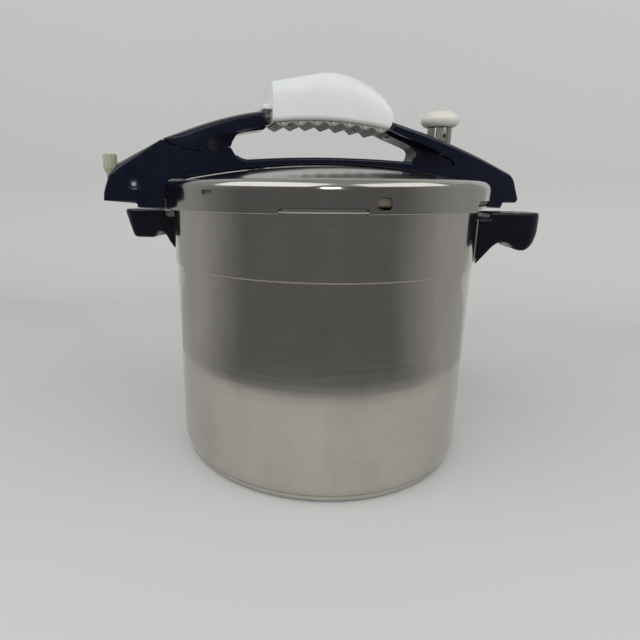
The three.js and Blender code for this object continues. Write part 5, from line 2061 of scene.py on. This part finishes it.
    def build(self) -> None:
        """Makes and dresses the grip."""
        self.wardrobe.fit(self.shell(), Finishes.WHITE, "lid", "grip_shell")
        # The toothed strip's grey is painted shade under the white grip.
        self.wardrobe.fit(self.strip(), Finishes.GREY_PAINTED_SHADE, "lid", "grip_strip")


# ---------------------------------------------------------------- fittings


@dataclass
class SteamWeight:
    """The vent pipe and the weight that sits on it, with its cap."""

    wardrobe: Wardrobe
    lid: Lid
    pipe_radius: float = 4.0
    pipe_bore: float = 1.6
    flange: float = 8.5
    flange_height: float = 3.0
    pipe_height: float = 30.0
    nut: float = 4.0
    start: float = 16.0
    radius: float = 10.0
    height: float = 25.0
    flutes: int = 20
    flute_depth: float = 0.6
    port: float = 1.6
    cap_radius: float = 16.0
    cap_height: float = 13.18
    spigot: float = 6.0
    spigot_height: float = 8.0
    gap: float = 0.3

    def place(self, piece: bpy.types.Object) -> bpy.types.Object:
        """Moves a piece drawn on its own axis to the vent."""
        shift(piece, self.lid.vent_offset)
        return swing(piece, self.lid.bayonet.turn)

    def pipe(self) -> bpy.types.Object:
        """Turns the vent pipe."""
        low, high = self.lid.seat(self.lid.vent_offset, 0, self.flange)
        base, tip = high + self.gap, high + self.pipe_height
        profile = [
            (self.pipe_bore, low - self.nut - 3),
            (self.pipe_radius, low - self.nut - 3),
            (self.pipe_radius, base),
            (self.flange, base),
            (self.flange, base + self.flange_height),
            (self.pipe_radius, base + self.flange_height),
            (self.pipe_radius, tip - 1.5),
            (self.pipe_radius - 1.5, tip),
            (self.pipe_bore, tip),
        ]
        piece = turned("vent_tube", profile, 72)
        smooth(piece, 30)
        return self.place(piece)

    def body(self) -> bpy.types.Object:
        """The fluted weight with its socket, spigot and steam port."""
        _, high = self.lid.seat(self.lid.vent_offset, 0, self.flange)
        low = high + self.start
        top = low + self.height
        seat = high + self.pipe_height + self.gap
        piece = raised("weight_stem", fluted(self.radius, self.flute_depth, self.flutes), low, top)
        round_edges(piece, 0.7, 3, 60)
        combine(piece, post("spigot", self.spigot, top - 1, top + self.spigot_height, sides=48), "UNION")
        cut(piece, post("socket", self.pipe_radius + 0.6, low - 2, seat, sides=48))
        port = post("port", self.port, -15, 15, sides=32)
        port.rotation_euler.y = math.pi / 2
        port.rotation_euler.z = math.radians(-93)
        port.location.z = (top - 7.2) * MM
        settle(port)
        cut(piece, port)
        smooth(piece, 40)
        return self.place(piece)

    def cap(self) -> bpy.types.Object:
        """Turns the cap with its soft shoulder."""
        _, high = self.lid.seat(self.lid.vent_offset, 0, self.flange)
        weight_top = high + self.start + self.height
        low = weight_top + self.gap
        top = low + self.cap_height
        waist = low + self.cap_height * 0.37
        hole = self.spigot + self.gap
        roof = weight_top + self.spigot_height + self.gap
        profile = [
            (0, roof),
            (hole, roof),
            (hole, low),
            (self.cap_radius - 4.6, low),
            (self.cap_radius - 3.4, low + 0.4),
            (self.cap_radius - 1.6, low + 1.8),
            (self.cap_radius - 0.5, low + 3.4),
            (self.cap_radius, waist),
            (self.cap_radius - 0.1, waist + 1.2),
            (self.cap_radius - 0.6, waist + 2.6),
            (self.cap_radius - 1.7, top - 4.6),
            (self.cap_radius - 3.2, top - 3.0),
            (self.cap_radius - 5.4, top - 1.7),
            (self.cap_radius - 8, top - 0.9),
            (self.cap_radius - 11, top - 0.3),
            (0, top),
        ]
        piece = turned("weight_knob", profile, 96)
        smooth(piece, 35, False)
        return self.place(piece)

    def build(self) -> None:
        """Makes and dresses the pipe and weight."""
        self.wardrobe.fit(self.pipe(), Finishes.SMALL_STEEL, "lid", "vent_pipe")
        self.wardrobe.fit(self.body(), Finishes.SMALL_STEEL, "weight", "weight_body")
        self.wardrobe.fit(self.cap(), Finishes.IVORY, "weight", "weight_cap")


@dataclass
class LockKnob:
    """The fluted knob at the left foot's end and the arm that carries its pin."""

    wardrobe: Wardrobe
    arch: Arch
    radius: float = 5.3
    height: float = 15.4
    flutes: int = 14
    flute_depth: float = 0.5
    travel: float = 10.0
    pin_radius: float = 3.0
    pin_rise: float = 1.0
    arm: float = 3.0
    stud: float = 1.8
    taper: float = 4.5
    gap: float = 0.3

    @property
    def arm_bottom(self) -> float:
        """Underside of the arm when the lock is up."""
        return self.arch.foot + self.arch.knob_floor + self.gap + self.travel

    @property
    def stud_top(self) -> float:
        """Tip of the stud inside the knob."""
        return self.arm_bottom + self.arm + self.gap + self.height * 0.55

    def knob(self) -> bpy.types.Object:
        """The knob: a tapered foot that grows into flutes, a soft crown and the stud's socket."""
        low = self.arm_bottom + self.arm + self.gap
        top = low + self.height
        steps = [
            (low, self.radius - 2.6, 0.0),
            (low + 0.5, self.radius - 2.0, 0.0),
            (low + self.taper * 0.5, self.radius - 1.1, 0.0),
            (low + self.taper, self.radius - self.flute_depth, 0.0),
            (low + self.taper + 0.3, self.radius, 1.0),
            (top - 0.8, self.radius, 1.0),
            (top - 0.35, self.radius - 0.15, 1.0),
            (top, self.radius - 0.7, 1.0),
        ]
        rings = []
        for height, radius, share in steps:
            outline = fluted(radius, self.flute_depth * share, self.flutes)
            rings.append([Vector((x, y, height)) for x, y in outline])
        piece = lofted("knob", rings)
        cut(piece, post("stud_socket", self.stud + self.gap, low - 2, self.stud_top + self.gap, sides=32))
        smooth(piece, 40)
        return piece

    def bar(self) -> bpy.types.Object:
        """The pin, the arm and the stud, in one piece of steel."""
        low, top = self.arm_bottom, self.arm_bottom + self.arm
        half = self.pin_radius - 0.5
        tip = self.arch.foot + self.pin_rise
        piece = post("lock_bar", self.pin_radius, tip, top, self.arch.pin_inset)
        combine(piece, block("arm", (0, -half, low), (self.arch.pin_inset, half, top)), "UNION")
        combine(piece, post("end", self.pin_radius, low, top), "UNION")
        round_edges(piece, 0.3, 2, 40)
        combine(piece, post("stud", self.stud, low + 1, self.stud_top, sides=32), "UNION")
        smooth(piece, 35)
        return piece

    def place(self, piece: bpy.types.Object) -> bpy.types.Object:
        """Moves a piece drawn on the knob's axis to its place."""
        shift(piece, -(self.arch.reach - self.arch.knob_inset), self.arch.knob_back)
        return swing(piece, self.arch.lid.bayonet.turn)

    def build(self) -> None:
        """Makes and dresses the knob and its bar."""
        self.wardrobe.fit(self.place(self.knob()), Finishes.OLIVE, "lock", "lock_knob")
        self.wardrobe.fit(self.place(self.bar()), Finishes.SMALL_STEEL, "lock", "lock_pin")


@dataclass
class FloatValve:
    """The small float valve behind the handle."""

    wardrobe: Wardrobe
    lid: Lid
    radius: float = 8.0
    height: float = 5.5
    pin: float = 2.2
    head: float = 3.6
    seal: float = 2.0
    nut: float = 4.0
    gap: float = 0.3

    def place(self, piece: bpy.types.Object) -> bpy.types.Object:
        """Moves a piece drawn on its own axis to the valve's seat."""
        shift(piece, *self.lid.float_place)
        return swing(piece, self.lid.bayonet.turn)

    def build(self) -> None:
        """Makes and dresses the housing, its washer and the pin."""
        low, high = self.lid.seat(*self.lid.float_place, self.radius)
        base = high + self.gap
        deck = base + self.seal + self.gap
        top = deck + self.height
        tail = low - self.nut - 3
        bore = self.pin + 0.3
        housing = [
            (bore, tail),
            (self.head, tail),
            (self.head, deck),
            (self.radius - 0.5, deck),
            (self.radius, deck + 0.5),
            (self.radius, top - 3),
            (self.radius - 0.7, top - 1.4),
            (self.radius - 2.5, top),
            (bore, top),
        ]
        piece = turned("float_housing", housing, 72)
        smooth(piece, 30)
        self.wardrobe.fit(self.place(piece), Finishes.SMALL_STEEL, "lid", "float_body")
        edge = self.radius + 0.6
        washer = [
            (self.head + self.gap, base),
            (edge - 0.4, base),
            (edge, base + 0.4),
            (edge, base + self.seal - 0.4),
            (edge - 0.4, base + self.seal),
            (self.head + self.gap, base + self.seal),
        ]
        piece = turned("float_washer", washer, 72)
        smooth(piece, 50)
        # The washer takes the same dark grey brown, which is painted shade.
        self.wardrobe.fit(self.place(piece), Finishes.SILICONE_PAINTED_SHADE, "lid", "float_seal")
        tip = high + self.seal + self.height + 4 * self.gap
        stem = [
            (0, low - self.nut - 11),
            (self.head - 0.5, low - self.nut - 11),
            (self.head, low - self.nut - 10.5),
            (self.head, low - self.nut - 8),
            (self.pin, low - self.nut - 8),
            (self.pin, tip),
            (self.head, tip),
            (self.head, tip + 1.6),
            (self.head - 0.8, tip + 2.4),
            (0, tip + 3),
        ]
        piece = turned("float_stem", stem, 48)
        smooth(piece, 35)
        self.wardrobe.fit(self.place(piece), Finishes.SMALL_STEEL, "float", "float_pin")


# ---------------------------------------------------------------- studio


@dataclass
class Studio:
    """Pale floor, backdrop, soft light and the camera.

    Places of the camera and lamps are in metres, other lengths in millimetres, angles in degrees.
    """

    camera_place: tuple[float, float, float] = (0.0156, -0.41566, 0.21597)
    heading: float = 7.0
    pitch: float = 15.143
    roll: float = 0.3
    lens: float = 27.0
    shift_x: float = 0.0625
    sheet: str = "#CDCECD"
    floor_half: float = 1500.0
    bend_start: float = 420.0
    bend_radius: float = 240.0
    backdrop_top: float = 1800.0
    room_near: float = 300.0
    room_far: float = 900.0
    room_height: float = 750.0
    room_turn: float = 130.0
    room_dim: str = "#686868"
    room_pale: str = "#A8A8A8"
    dim_to: float = 50.0
    pale_from: float = 90.0

    def camera(self) -> None:
        """Sets the camera where the cooker is seen from a little above its rim."""
        heading, pitch, roll = (math.radians(a) for a in (self.heading, self.pitch, self.roll))
        level = Vector((-math.sin(heading), math.cos(heading), 0))
        forward = level * math.cos(pitch) - Vector((0, 0, math.sin(pitch)))
        right = Vector((math.cos(heading), math.sin(heading), 0))
        up = right.cross(forward)
        across = right * math.cos(roll) + up * math.sin(roll)
        upward = up * math.cos(roll) - right * math.sin(roll)
        data = bpy.data.cameras.new("camera")
        data.lens = self.lens
        data.sensor_width = 36
        data.shift_x = self.shift_x
        data.clip_start = 0.01
        camera = bpy.data.objects.new("camera", data)
        bpy.context.scene.collection.objects.link(camera)
        turn = Matrix((across, upward, -forward)).transposed().to_4x4()
        camera.matrix_world = Matrix.Translation(self.camera_place) @ turn
        bpy.context.scene.camera = camera

    def surface(self) -> bpy.types.Material:
        """A plain pale sheet; it is matt, so it shows shadows and no glints."""
        material = cleared("woven_plastic_sheet")
        shader = add_node(material, "BsdfPrincipled")
        add_node(material, "OutputMaterial", inputs={"Surface": shader.outputs[0]})
        shader.inputs["Base Color"].default_value = linear(self.sheet)
        shader.inputs["Roughness"].default_value = 0.6
        return material

    def floor(self) -> None:
        """A floor that curves up into a backdrop."""
        half, start, bend = self.floor_half, self.bend_start, self.bend_radius
        line = [Vector((-half, -half, 0)), Vector((-half, start, 0))]
        line += [Vector((-half, start + x, z)) for x, z in quarter(0, bend, bend, -90, 0, 16)[1:]]
        line.append(Vector((-half, start + bend, self.backdrop_top)))
        piece = draw_line("sweep", line)
        bpy.ops.mesh.select_all(action="SELECT")
        bpy.ops.mesh.extrude_region_move(TRANSFORM_OT_translate={"value": (2 * half * MM, 0, 0)})
        bpy.ops.object.mode_set(mode="OBJECT")
        piece.data.materials.append(self.surface())
        focus(piece)
        bpy.ops.object.shade_smooth()

    def dim(self, name: str) -> bpy.types.Material:
        """A plain grey glow, dim behind the camera and paler to both sides.

        Args:
            name: What is there in the room.

        Returns:
            The material.
        """
        material = cleared(name)
        where = add_node(material, "TexCoord").outputs["Object"]
        apart = add_node(material, "SeparateXYZ", inputs={0: where})
        ahead = add_node(material, "Math", {"operation": "MULTIPLY"}, {0: apart.outputs[1], 1: -1.0})
        sides = {0: apart.outputs[0], 1: ahead.outputs[0]}
        angle = add_node(material, "Math", {"operation": "ARCTAN2"}, sides)
        aside = add_node(material, "Math", {"operation": "ABSOLUTE"}, {0: angle.outputs[0]})
        limits = {"From Min": math.radians(self.dim_to), "From Max": math.radians(self.pale_from)}
        share = add_node(material, "MapRange", inputs={"Value": aside.outputs[0], **limits})
        ramp = add_node(material, "ValToRGB", inputs={"Fac": share.outputs[0]})
        for stop, code in zip(ramp.color_ramp.elements, (self.room_dim, self.room_pale)):
            stop.color = linear(code)
        glow = add_node(material, "Emission", inputs={"Color": ramp.outputs[0], "Strength": 1.0})
        add_node(material, "OutputMaterial", inputs={"Surface": glow.outputs[0]})
        return material

    def room(self) -> None:
        """The dim side of the studio behind the camera, which only gloss and metal see."""
        for name, line in (
            ("dim_walls", [(self.room_far, 3), (self.room_far, self.room_height)]),
            ("dim_ground", [(self.room_near, 3), (self.room_far, 3)]),
        ):
            start = Matrix.Rotation(math.radians(-90 - self.room_turn), 3, "Z")
            piece = draw_line(name, [start @ Vector((r, 0, z)) for r, z in line])
            bpy.ops.mesh.select_all(action="SELECT")
            bpy.ops.mesh.spin(
                steps=130, angle=-math.radians(2 * self.room_turn), center=(0, 0, 0), axis=(0, 0, 1)
            )
            bpy.ops.object.mode_set(mode="OBJECT")
            piece.data.materials.append(self.dim(name))
            piece.visible_camera = False
            piece.visible_diffuse = False
            piece.visible_shadow = False

    def lamp(
        self, name: str, place: Sequence[float], aim: Sequence[float], side: float, power: float
    ) -> None:
        """Adds a soft white square lamp.

        Args:
            name: Its name.
            place: Where it hangs.
            aim: The point that it faces.
            side: Its width and height.
            power: Its power in watts.
        """
        data = bpy.data.lights.new(name, "AREA")
        data.shape = "SQUARE"
        data.size = side
        data.energy = power
        lamp = bpy.data.objects.new(name, data)
        bpy.context.scene.collection.objects.link(lamp)
        lamp.location = place
        lamp.rotation_euler = (Vector(place) - Vector(aim)).to_track_quat("Z", "Y").to_euler()

    def air(self) -> None:
        """An even pale surrounding light."""
        world = bpy.data.worlds.new("air")
        world.use_nodes = True
        world.node_tree.nodes.clear()
        ground = add_node(world, "Background", inputs={"Color": linear("#D8D8D6"), "Strength": 0.6})
        add_node(world, "OutputWorld", inputs={"Surface": ground.outputs[0]})
        bpy.context.scene.world = world

    def build(self) -> None:
        """Sets the whole studio up."""
        bpy.context.scene.view_settings.view_transform = "Standard"
        self.camera()
        self.floor()
        self.air()
        self.room()
        self.lamp("key", (-0.9, -0.9, 1.3), (0, 0, 0.15), 2.0, 16)
        self.lamp("fill", (1.2, -0.5, 1.0), (0, 0, 0.15), 1.6, 9.5)
        self.lamp("spot", (0.1, -0.82, 0.5), (-0.1, 0, 0.2), 0.14, 1.0)


def main() -> None:
    """Builds every sub-assembly, dresses it and reports each piece."""
    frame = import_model()
    wardrobe = Wardrobe()
    bayonet = Bayonet()
    lid = Lid(wardrobe, bayonet)
    arch = Arch(wardrobe, lid)
    Pot(wardrobe, bayonet).build(frame)
    for side in Side:
        SideHandle(wardrobe, bayonet, side).build(frame)
    lid.build(frame)
    arch.build(frame)
    Grip(wardrobe, arch).build()
    SteamWeight(wardrobe, lid).build()
    LockKnob(wardrobe, arch).build()
    FloatValve(wardrobe, lid).build()
    Studio().build()
    focus_none()


if __name__ == "__main__":
    main()
